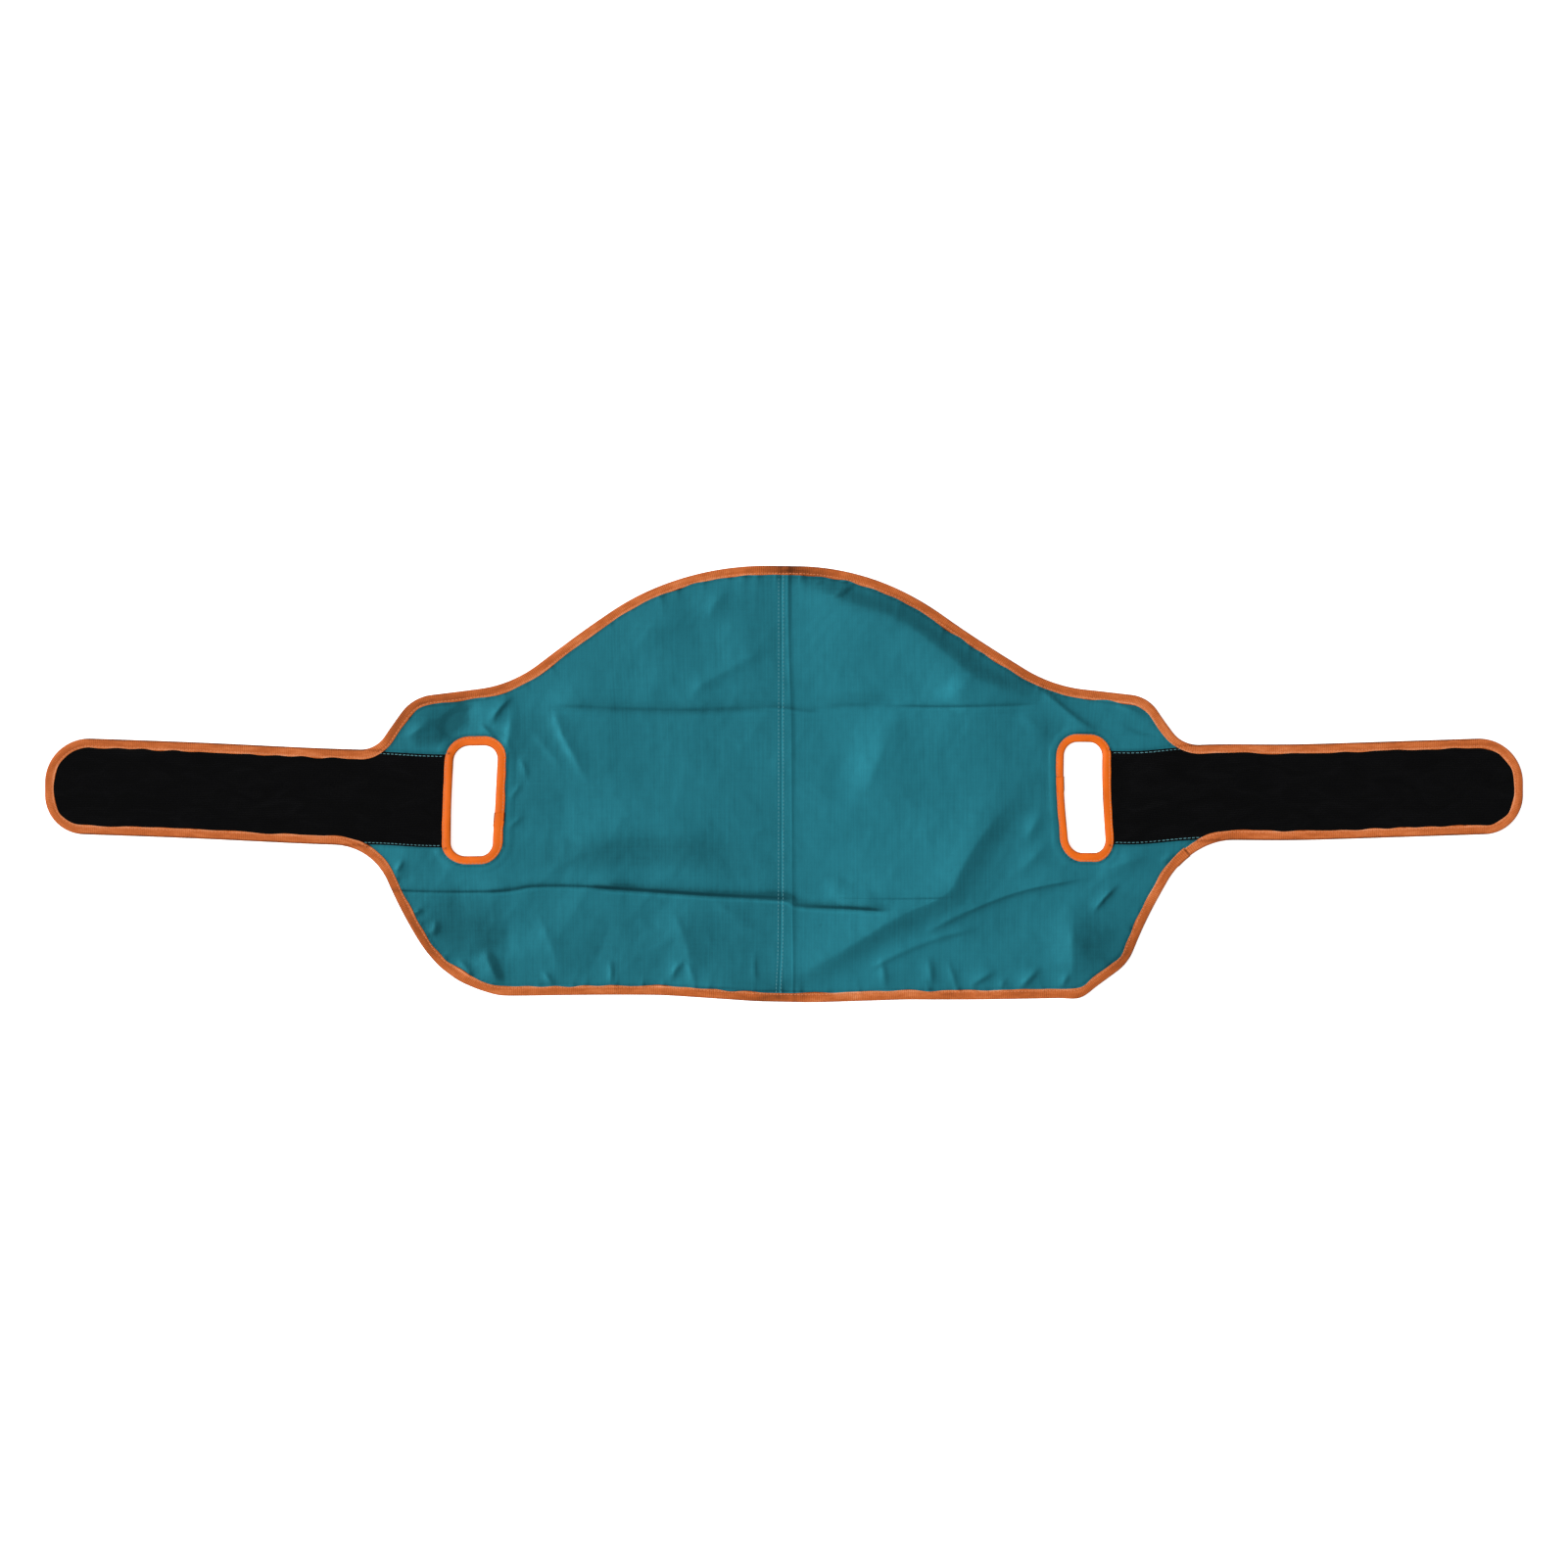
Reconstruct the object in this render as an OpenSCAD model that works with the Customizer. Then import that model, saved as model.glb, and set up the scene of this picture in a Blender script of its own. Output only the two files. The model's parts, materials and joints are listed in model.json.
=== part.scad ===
// Gait belt: a coated-cloth panel with a bound edge, two hand slots and two
// hook-and-loop arms, lying flat with its front face up.
// X runs along the belt, Y up the panel, Z out of the front face.
// The cloth is cut at its fold lines, so that each fold can be a hinge.

/* [Belt] */
// Length from tip to tip
belt_l = 1270; // [1220:5:1320]
// Height of the panel at its middle
belt_h = 375; // [365:1:390]
// Width of an arm
arm_w = 82.6; // [80:0.1:88]
// Rise of an arm towards its tip, in degrees
arm_rise = 1.9; // [1:0.1:3]

/* [Hand slots] */
// Distance of a slot's middle from the belt's middle
slot_x = 263; // [258:1:268]
// Height of a slot's middle
slot_y = -13; // [-18:1:-8]
// Width of the opening
slot_w = 36; // [32:1:40]
// Length of the opening
slot_l = 95; // [88:1:100]
// Radius of the opening's corners
slot_r = 12; // [8:1:16]

/* [Tape and strips] */
// Width of the binding tape on each face
binding_w = 8; // [6:0.5:10]
// Width of the loop strip
strip_w = 80; // [76:0.5:80]
// Length of the hook patch behind the left tip
hook_l = 150; // [120:5:160]
// Width of the hook patch
hook_w = 56; // [40:1:60]

/* [Thicknesses] */
// Binding tape
tape_t = 0.5; // [0.4:0.1:0.7]
// Shell and lining cloth
cloth_t = 0.4; // [0.3:0.1:0.5]
// Layer between shell and lining
core_t = 0.4; // [0.3:0.1:0.6]
// Loop strip
strip_t = 1.2; // [1:0.1:1.6]
// Hook patch
hook_t = 1; // [0.8:0.1:1.4]

/* [Folds] */
// Fold beside the centre seam
seam_fold_x = 6.5; // [6:0.5:8]
// Fold across the back, each side
back_fold_x = 80; // [70:1:90]
// Fold at the side of the body, each side
side_fold_x = 215; // [205:1:222]
// Fold at the root of an arm
root_fold_x = 345; // [340:1:350]
// Fold part-way along an arm
arm_fold_x = 440; // [420:1:460]
// Gap between the two sides of a fold
fold_gap = 0.4; // [0.3:0.1:0.6]

/* [Hidden] */
$fn = 48;

half_l = belt_l / 2;
half_h = belt_h / 2;
teal = [0.14, 0.43, 0.48];
edge_orange = [0.80, 0.40, 0.20];
slot_orange = [0.90, 0.38, 0.14];
black = [0.05, 0.05, 0.05];

// Chord error of the outline's arcs
arc_error = 0.15;
// Room around the model for the cutting blocks
past = 20;

// Heights of the layers above the table
lining_z = tape_t;
core_z = lining_z + cloth_t;
shell_z = core_z + core_t;
front_z = shell_z + cloth_t;

// The centre seam's fell: the folded-under cloth edges between the stitch rows and the fold
fell_left_x = -4.6;

// The slot's reinforcement patch, between the shell and the lining
patch_margin = 14;
patch_r = 12;

// Least distance of the hook patch from the edge of the arm
hook_margin = 12;

// Middle line of an arm at a distance x from the belt's middle
arm_middle_x = 345;
arm_middle_y = -10.5;
function arm_line(x) = arm_middle_y + (x - arm_middle_x) * tan(arm_rise);
function arm_edge(x, side) = arm_line(x) + side * arm_w / 2 / cos(arm_rise);

// Corners of the right half's outline, anticlockwise from the hem's middle: [x, y, radius]
hem_y = -half_h + 4;
half_corners = [
    [24, -half_h, 400],
    [105, hem_y, 400],
    [255, hem_y + 0.6, 46],
    [300, -half_h + 34, 45],
    [350.5, arm_edge(350.5, -1), 60],
    [half_l, arm_edge(half_l, -1), 34],
    [half_l, arm_edge(half_l, 1), 38],
    [347, arm_edge(347, 1), 26],
    [316, half_h - 112.5, 34],
    [232, half_h - 102.5, 115],
    [83, half_h, 230]
];

function reversed(list) = [for (i = [len(list) - 1 : -1 : 0]) list[i]];
function mirrored(corners) = reversed([for (c = corners) [-c[0], c[1], c[2]]]);
function unit(v) = v / norm(v);
function turned(v, a) = [v[0] * cos(a) - v[1] * sin(a), v[0] * sin(a) + v[1] * cos(a)];
function flat(v) = [v[0], v[1]];

// The arc that rounds the corner at c on the way from a to b
function rounded(a, c, b) =
    let (
        at = flat(c), u = unit(flat(a) - at), v = unit(flat(b) - at),
        half = acos(u * v) / 2,
        centre = at + unit(u + v) * (c[2] / sin(half)),
        first = at + u * (c[2] / tan(half)) - centre,
        turn = (180 - 2 * half) * sign(u[1] * v[0] - u[0] * v[1]),
        steps = ceil(abs(turn) / (2 * acos(1 - arc_error / c[2])))
    )
    [for (i = [0 : steps]) centre + turned(first, turn * i / steps)];

corners = concat(half_corners, mirrored(half_corners));
outline = [
    for (i = [0 : len(corners) - 1])
        each rounded(
            corners[(i + len(corners) - 1) % len(corners)],
            corners[i],
            corners[(i + 1) % len(corners)]
        )
];

// The outline moved inwards by a distance
function inset(points, distance) =
    let (n = len(points))
    [
        for (i = [0 : n - 1])
            let (
                ahead = unit(points[(i + 1) % n] - points[i]),
                behind = unit(points[i] - points[(i + n - 1) % n]),
                along = unit(ahead + behind)
            )
            points[i] + distance * [-along[1], along[0]]
    ];

// Segments of the belt between fold lines: [lowest x, highest x]
centre_right = [seam_fold_x, back_fold_x];
centre_left = [-back_fold_x, seam_fold_x];
side_right = [back_fold_x, side_fold_x];
wing_right = [side_fold_x, root_fold_x];
arm_right = [root_fold_x, arm_fold_x];
tip_right = [arm_fold_x, half_l + past];
function left_of(segment) = [-segment[1], -segment[0]];
side_left = left_of(side_right);
wing_left = left_of(wing_right);
arm_left = left_of(arm_right);
tip_left = left_of(tip_right);

function is_wing(s) = s == wing_left || s == wing_right;
function has_strip_under_tape(s) = s[0] >= root_fold_x || s[1] <= -root_fold_x;
// The hook patch is thicker than the tape, so it lifts the left tip's cloth
function lift(s) = s == tip_left ? hook_t - tape_t : 0;
function tape_top(s) = lift(s) + front_z + tape_t + (has_strip_under_tape(s) ? strip_t : 0);
function side_of(s) = s[0] + s[1] < 0 ? -1 : 1;

// A slab of the belt's outline, moved inwards, within a segment and between two heights
module slab(s, distance, low, high) {
    intersection() {
        translate([0, 0, low]) linear_extrude(high - low) polygon(inset(outline, distance));
        translate([s[0] + fold_gap / 2, -half_h - past, low - past])
            cube([s[1] - s[0] - fold_gap, belt_h + 2 * past, high - low + 2 * past]);
    }
}

module rounded_rectangle(w, l, r) {
    square([w - 2 * r, l], center = true);
    square([w, l - 2 * r], center = true);
    for (x = [-1, 1])
        for (y = [-1, 1])
            translate([x * (w / 2 - r), y * (l / 2 - r)]) circle(r);
}

// The hand slot's opening, made larger by a margin all round
module slot_block(s, margin, low, high) {
    translate([side_of(s) * slot_x, slot_y, low])
        linear_extrude(high - low)
            rounded_rectangle(slot_w + 2 * margin, slot_l + 2 * margin, slot_r + margin);
}

// One layer of cloth, with the slot cut out where the segment has one
module cloth(s, low) {
    difference() {
        slab(s, tape_t, low, low + cloth_t);
        if (is_wing(s)) slot_block(s, tape_t, low - past, low + past);
    }
}

module shell(s) {
    color(teal) cloth(s, lift(s) + shell_z);
}

module lining(s) {
    color(teal) cloth(s, lift(s) + lining_z);
}

// Binding tape, folded over the edge of the cloth
module binding(s) {
    color(edge_orange)
        difference() {
            slab(s, 0, lift(s), tape_top(s));
            slab(s, tape_t, lift(s) + tape_t, tape_top(s) - tape_t);
            slab(s, binding_w, -past, tape_top(s) + past);
        }
}

// Binding tape, folded over the edge of a hand slot
module slot_binding(s) {
    color(slot_orange)
        difference() {
            slot_block(s, binding_w, 0, tape_top(s));
            difference() {
                slot_block(s, binding_w + past, tape_t, front_z);
                slot_block(s, tape_t, 0, tape_top(s));
            }
            slot_block(s, 0, -past, past);
        }
}

// Stiffening patch around a hand slot, between the shell and the lining
module slot_patch(s) {
    color("white")
        difference() {
            translate([side_of(s) * slot_x, slot_y, core_z])
                linear_extrude(core_t)
                    rounded_rectangle(
                        slot_w + 2 * patch_margin, slot_l + 2 * patch_margin, patch_r
                    );
            slot_block(s, tape_t, 0, past);
        }
}

// A straight length of tape along an arm, from x = first to x = last
module arm_tape(side, first, last, width, low, high) {
    mirror([side < 0 ? 1 : 0, 0, 0])
        translate([first, arm_line(first), low])
            rotate([0, 0, arm_rise])
                translate([0, -width / 2, 0]) cube([last - first, width, high - low]);
}

// Loop strip on the front of an arm; beyond the root, its long edges lie under the binding
module loop_strip(s) {
    low = lift(s) + front_z;
    color(black)
        intersection() {
            slab(s, has_strip_under_tape(s) ? tape_t : binding_w, low, low + strip_t);
            difference() {
                arm_tape(side_of(s), slot_x, half_l + past, strip_w, low - past, low + past);
                slot_block(side_of(s) * wing_right, binding_w, low - past, low + past);
            }
        }
}

// Hook patch behind the left tip, which fastens on the right arm's loop strip
module hook_patch() {
    color(black)
        intersection() {
            slab(tip_left, hook_margin, 0, hook_t);
            arm_tape(-1, half_l - hook_margin - hook_l, half_l, hook_w, 0, hook_t);
        }
}

// Folded-under cloth edges of the centre seam, between the shell and the lining
module centre_seam_fell() {
    color(teal) slab([fell_left_x, seam_fold_x], tape_t, core_z, shell_z);
}

shell(centre_left);  // shell_centre_left
shell(centre_right);  // shell_centre_right
shell(side_left);  // shell_side_left
shell(side_right);  // shell_side_right
shell(wing_left);  // shell_wing_left
shell(wing_right);  // shell_wing_right
shell(arm_left);  // shell_arm_left
shell(arm_right);  // shell_arm_right
shell(tip_left);  // shell_tip_left
shell(tip_right);  // shell_tip_right
lining(centre_left);  // lining_centre_left
lining(centre_right);  // lining_centre_right
lining(side_left);  // lining_side_left
lining(side_right);  // lining_side_right
lining(wing_left);  // lining_wing_left
lining(wing_right);  // lining_wing_right
lining(arm_left);  // lining_arm_left
lining(arm_right);  // lining_arm_right
lining(tip_left);  // lining_tip_left
lining(tip_right);  // lining_tip_right
binding(centre_left);  // binding_centre_left
binding(centre_right);  // binding_centre_right
binding(side_left);  // binding_side_left
binding(side_right);  // binding_side_right
binding(wing_left);  // binding_wing_left
binding(wing_right);  // binding_wing_right
binding(arm_left);  // binding_arm_left
binding(arm_right);  // binding_arm_right
binding(tip_left);  // binding_tip_left
binding(tip_right);  // binding_tip_right
slot_binding(wing_left);  // slot_binding_left
slot_binding(wing_right);  // slot_binding_right
slot_patch(wing_left);  // slot_patch_left
slot_patch(wing_right);  // slot_patch_right
loop_strip(wing_left);  // loop_strip_wing_left
loop_strip(wing_right);  // loop_strip_wing_right
loop_strip(arm_left);  // loop_strip_arm_left
loop_strip(arm_right);  // loop_strip_arm_right
loop_strip(tip_left);  // loop_strip_tip_left
loop_strip(tip_right);  // loop_strip_tip_right
hook_patch();
centre_seam_fell();
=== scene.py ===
import json
import math

import bpy
import numpy as np
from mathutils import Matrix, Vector
from mathutils.kdtree import KDTree

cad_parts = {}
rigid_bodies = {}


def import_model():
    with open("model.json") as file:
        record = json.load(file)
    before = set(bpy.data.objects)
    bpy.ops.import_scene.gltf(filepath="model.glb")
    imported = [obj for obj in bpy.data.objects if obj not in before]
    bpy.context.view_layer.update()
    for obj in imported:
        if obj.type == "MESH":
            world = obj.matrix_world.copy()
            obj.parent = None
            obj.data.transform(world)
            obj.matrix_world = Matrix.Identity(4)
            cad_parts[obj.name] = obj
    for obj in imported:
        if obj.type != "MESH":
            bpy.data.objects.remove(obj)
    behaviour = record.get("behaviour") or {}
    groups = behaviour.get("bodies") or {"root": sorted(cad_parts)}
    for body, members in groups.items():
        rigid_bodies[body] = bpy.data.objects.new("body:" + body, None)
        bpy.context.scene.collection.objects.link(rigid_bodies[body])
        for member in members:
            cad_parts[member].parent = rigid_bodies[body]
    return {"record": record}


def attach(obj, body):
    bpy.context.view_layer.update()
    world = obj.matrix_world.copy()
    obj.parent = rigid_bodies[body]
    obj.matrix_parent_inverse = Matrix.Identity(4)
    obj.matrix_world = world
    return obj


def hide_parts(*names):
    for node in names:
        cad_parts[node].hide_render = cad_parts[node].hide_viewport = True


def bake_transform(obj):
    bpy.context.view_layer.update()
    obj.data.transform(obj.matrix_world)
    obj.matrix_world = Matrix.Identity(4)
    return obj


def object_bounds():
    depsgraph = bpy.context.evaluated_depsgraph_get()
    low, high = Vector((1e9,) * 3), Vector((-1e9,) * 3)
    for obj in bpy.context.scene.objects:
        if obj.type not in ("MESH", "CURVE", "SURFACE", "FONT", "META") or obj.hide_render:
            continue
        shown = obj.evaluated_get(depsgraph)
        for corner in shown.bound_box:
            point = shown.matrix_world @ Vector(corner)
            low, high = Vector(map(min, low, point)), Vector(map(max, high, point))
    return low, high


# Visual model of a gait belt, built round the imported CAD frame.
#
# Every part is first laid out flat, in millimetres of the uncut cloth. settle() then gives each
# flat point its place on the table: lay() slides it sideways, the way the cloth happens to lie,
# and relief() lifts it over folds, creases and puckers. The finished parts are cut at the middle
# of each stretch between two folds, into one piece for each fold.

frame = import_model()
cad_low, cad_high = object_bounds()
MM = 0.001
FAR = 1e9


def new_object(name, data):
    thing = bpy.data.objects.new(name, data)
    bpy.context.scene.collection.objects.link(thing)
    return thing


# ---- Camera: straight above the belt's middle ----

# Width of floor in view and height above it, in metres, and the sensor's width in millimetres
VIEW_WIDTH, CAMERA_HEIGHT, SENSOR_WIDTH = 1.3484, 3.0, 36.0


def make_camera():
    data = bpy.data.cameras.new("camera")
    data.sensor_width = SENSOR_WIDTH
    data.lens = SENSOR_WIDTH * CAMERA_HEIGHT / VIEW_WIDTH
    camera = new_object("camera", data)
    camera.location = (0, 0, CAMERA_HEIGHT)
    bpy.context.scene.camera = camera


make_camera()


# ---- Sizes, in millimetres, as in the CAD part ----

SIDES = {"left": -1, "right": 1}
HALF_L = (cad_high.x - cad_low.x) / 2 / MM
HALF_H = (cad_high.y - cad_low.y) / 2 / MM
# An arm's width, its slope outwards, and a point on its middle line
ARM_W, ARM_RISE, ARM_MIDDLE = 82.6, math.radians(1.9), (345, -10.5)
# Lowest and highest y that the arms reach
ARM_SPAN = (-60, 50)
SLOT_X, SLOT_Y = 263, -13
SLOT_W, SLOT_L, SLOT_R = 36, 95, 12
# Width of a folded tape on one face, round the edge and round the hand slots, and thickness
TAPE_W, RING_TAPE_W, TAPE_T = 8, 7.4, 0.5
STRIP_W, STRIP_T = 80, 1.2
LINING_Z, SHELL_Z = 0.5, 1.7
HOOK_W, HOOK_L, HOOK_T, HOOK_MARGIN = 56, 150, 1.0, 12
# Stiffening patch between shell and lining: how far it reaches past the hand slot
PATCH_MARGIN = 14
# The belt folds shut along this line, the edge of the centre seam's lap
SEAM_FOLD_X = 6.5

# How far a cloth's cut edge stays inside the fold of the tape that covers it
TUCK = 0.7
# Inner end of a loop strip, under the hand slot's tape
STRIP_START = SLOT_X + SLOT_W / 2 + 3
# A tape climbs a strip from this far outside its long edge, over this length, and over this
# length at the strip's inner end
CLIMB_FROM, CLIMB_LENGTH, END_CLIMB = 3, 2.8, 2.5


def smoothstep(value, low, high):
    t = np.clip((value - low) / (high - low), 0, 1)
    return t * t * (3 - 2 * t)


def bell(distance, width):
    """1 at distance 0, falling to about a third at the width and to nothing beyond."""
    return np.exp(-((distance / width) ** 2))


def bump(x, y, cx, cy, rx, ry):
    return np.exp(-(((x - cx) / rx) ** 2) - ((y - cy) / ry) ** 2)


def arm_line(x):
    """Height of an arm's middle line."""
    return ARM_MIDDLE[1] + (np.abs(x) - ARM_MIDDLE[0]) * math.tan(ARM_RISE)


def arm_edge(x, side):
    return arm_line(x) + side * ARM_W / 2 / math.cos(ARM_RISE)


def inside_band(x, y, width):
    """Distance inwards from the long edges of a band along an arm."""
    return width / 2 - np.abs(y - arm_line(x)) * math.cos(ARM_RISE)


# ---- Outline ----

HEM_Y = -HALF_H + 4
# Corners of the right half, anticlockwise from the hem's middle: x, y, radius
HALF_CORNERS = [
    (24, -HALF_H, 400),
    (105, HEM_Y, 400),
    (255, HEM_Y + 0.6, 46),
    (300, -HALF_H + 34, 45),
    (350.5, arm_edge(350.5, -1), 60),
    (HALF_L, arm_edge(HALF_L, -1), 34),
    (HALF_L, arm_edge(HALF_L, 1), 38),
    (347, arm_edge(347, 1), 26),
    (316, HALF_H - 112.5, 34),
    (232, HALF_H - 102.5, 115),
    (83, HALF_H, 230),
]
OUTLINE_STEP = 1.0
# The direction of a path is taken between points this far ahead and behind
LOOK_AHEAD = 0.6


def rounded_corner(before, corner, after):
    """Points of the arc that rounds a corner, turning the way that the corner turns."""
    at, radius = np.array(corner[:2], float), corner[2]
    u = np.array(before[:2], float) - at
    v = np.array(after[:2], float) - at
    u, v = u / np.hypot(*u), v / np.hypot(*v)
    half = math.acos(float(np.clip(u @ v, -1, 1))) / 2
    middle = at + (u + v) / np.hypot(*(u + v)) * radius / math.sin(half)
    first = at + u * radius / math.tan(half) - middle
    turn = (math.pi - 2 * half) * np.sign(u[1] * v[0] - u[0] * v[1])
    angles = np.linspace(0, turn, max(3, int(abs(turn) * radius / OUTLINE_STEP) + 2))
    cos, sin = np.cos(angles), np.sin(angles)
    return middle + np.stack((first[0] * cos - first[1] * sin, first[0] * sin + first[1] * cos), 1)


class Path:
    """A closed line in the flat cloth, at even steps, with the normal on its left side."""

    def __init__(self, points, step):
        ring = np.vstack((points, points[:1]))
        gaps = np.hypot(*np.diff(ring, axis=0).T)
        ring = ring[np.r_[True, gaps > 1e-6]]
        run = np.r_[0, np.cumsum(np.hypot(*np.diff(ring, axis=0).T))]
        self.length = run[-1]
        self.run, self.ring = run, ring
        count = int(self.length / step)
        self.s = np.arange(count) * self.length / count
        self.x, self.y = self.point(self.s)
        ahead, behind = self.point(self.s + LOOK_AHEAD), self.point(self.s - LOOK_AHEAD)
        tx, ty = ahead[0] - behind[0], ahead[1] - behind[1]
        size = np.hypot(tx, ty)
        self.nx, self.ny = -ty / size, tx / size

    def point(self, s):
        s = np.mod(s, self.length)
        return np.interp(s, self.run, self.ring[:, 0]), np.interp(s, self.run, self.ring[:, 1])

    def normal(self, s):
        s = np.mod(s, self.length)
        where = np.r_[self.s, self.length]
        nx = np.interp(s, where, np.r_[self.nx, self.nx[0]])
        ny = np.interp(s, where, np.r_[self.ny, self.ny[0]])
        size = np.hypot(nx, ny)
        return nx / size, ny / size

    def nearest(self, x, y):
        """Arc length of the path's point nearest to (x, y)."""
        return float(self.s[np.argmin((self.x - x) ** 2 + (self.y - y) ** 2)])


def make_outline():
    corners = HALF_CORNERS + [(-x, y, r) for x, y, r in reversed(HALF_CORNERS)]
    count = len(corners)
    near = [(corners[i - 1], corners[i], corners[(i + 1) % count]) for i in range(count)]
    return Path(np.vstack([rounded_corner(*three) for three in near]), OUTLINE_STEP)


def make_slot(side):
    """Edge of a hand slot, clockwise, so that its left side is the cloth."""
    w, l = SLOT_W / 2 - SLOT_R, SLOT_L / 2 - SLOT_R
    angles = np.radians(np.arange(0, 91, 5))
    points = []
    for quarter, (cx, cy) in enumerate(((w, l), (-w, l), (-w, -l), (w, -l))):
        turned = angles + quarter * math.pi / 2
        points.append(np.stack((cx + SLOT_R * np.cos(turned), cy + SLOT_R * np.sin(turned)), 1))
    return Path(np.vstack(points)[::-1] + (side * SLOT_X, SLOT_Y), OUTLINE_STEP)


outline = make_outline()
outline_tree = KDTree(len(outline.s))
for i, (px, py) in enumerate(zip(outline.x, outline.y)):
    outline_tree.insert((px, py, 0), i)
outline_tree.balance()


def edge_place(x, y):
    """Arc length of the nearest outline point, and the distance inwards from it."""
    flat_x, flat_y = np.ravel(x), np.ravel(y)
    found = (outline_tree.find((px, py, 0))[1] for px, py in zip(flat_x, flat_y))
    at = np.fromiter(found, int, len(flat_x))
    from_x, from_y = flat_x - outline.x[at], flat_y - outline.y[at]
    inwards = from_x * outline.nx[at] + from_y * outline.ny[at]
    return outline.s[at].reshape(np.shape(x)), inwards.reshape(np.shape(x))


def slot_distance(x, y):
    """Distance from the nearer hand slot's edge, negative inside the opening."""
    qx = np.abs(np.abs(x) - SLOT_X) - (SLOT_W / 2 - SLOT_R)
    qy = np.abs(y - SLOT_Y) - (SLOT_L / 2 - SLOT_R)
    outside = np.hypot(np.maximum(qx, 0), np.maximum(qy, 0))
    return outside + np.minimum(np.maximum(qx, qy), 0) - SLOT_R


def strip_cover(x, y):
    """1 where a loop strip lies on the cloth, falling to 0 just outside it."""
    inside = STRIP_W / 2 + CLIMB_FROM - np.abs(y - arm_line(x))
    across = smoothstep(inside, 0, CLIMB_LENGTH)
    return across * smoothstep(np.abs(x), STRIP_START - END_CLIMB, STRIP_START)


# ---- How the cloth lies: sideways shifts ----

# Middle x and y, reach along x and y, shift along x and y
SHIFTS = [
    (-140, 130, 110, 70, -4.5, 3.0),
    (140, 130, 110, 70, -4.5, -3.0),
    (-330, -110, 50, 70, -6.5, 0.0),
    (315, -110, 45, 70, -6.5, 0.0),
    (-345, 50, 60, 50, -4.0, 0.0),
    (345, 50, 60, 50, -4.0, 0.0),
    (-390, -10, 90, 60, 0.0, -2.8),
    (368, -10, 50, 60, 0.0, 4.0),
    (-265, -10, 50, 60, -4.0, -2.4),
    (258, -10, 50, 60, -6.0, 2.9),
    (-308, -12, 26, 50, 0.0, -1.7),
    (308, -12, 24, 50, 0.0, -2.4),
    (-130, -185, 110, 60, 0.0, 2.2),
    (150, -185, 110, 60, 0.0, -2.0),
    (254, -181, 10, 10, 0.6, -1.8),
    (-256, -180, 13, 10, 0.0, 1.3),
    (-280, -170, 13, 13, -0.9, -1.3),
    (-302, -150, 12, 12, 1.0, 0.6),
    (-243, -50, 12, 22, -2.2, 0.0),
]
# Middle x and y, reach along x and y, lean to the left of the top, and widening along x
LEANS = [
    (-263, -13, 46, 85, -0.038, 0.03),
    (263, -13, 46, 85, 0.044, -0.09),
]
# The shifts die out towards the centre fold, which stays straight
STILL_X, FREE_X = 12, 60


def lay(x, y):
    """Where a flat point lies on the table."""
    dx, dy = np.zeros_like(x), np.zeros_like(y)
    for cx, cy, rx, ry, sx, sy in SHIFTS:
        share = bump(x, y, cx, cy, rx, ry)
        dx, dy = dx + sx * share, dy + sy * share
    for cx, cy, rx, ry, lean, widening in LEANS:
        share = bell(((x - cx) / rx) ** 2 + ((y - cy) / ry) ** 2, 1)
        dx = dx + (widening * (x - cx) - lean * (y - cy)) * share
    return x + dx * smoothstep(np.abs(x), STILL_X, FREE_X), y + dy
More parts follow.
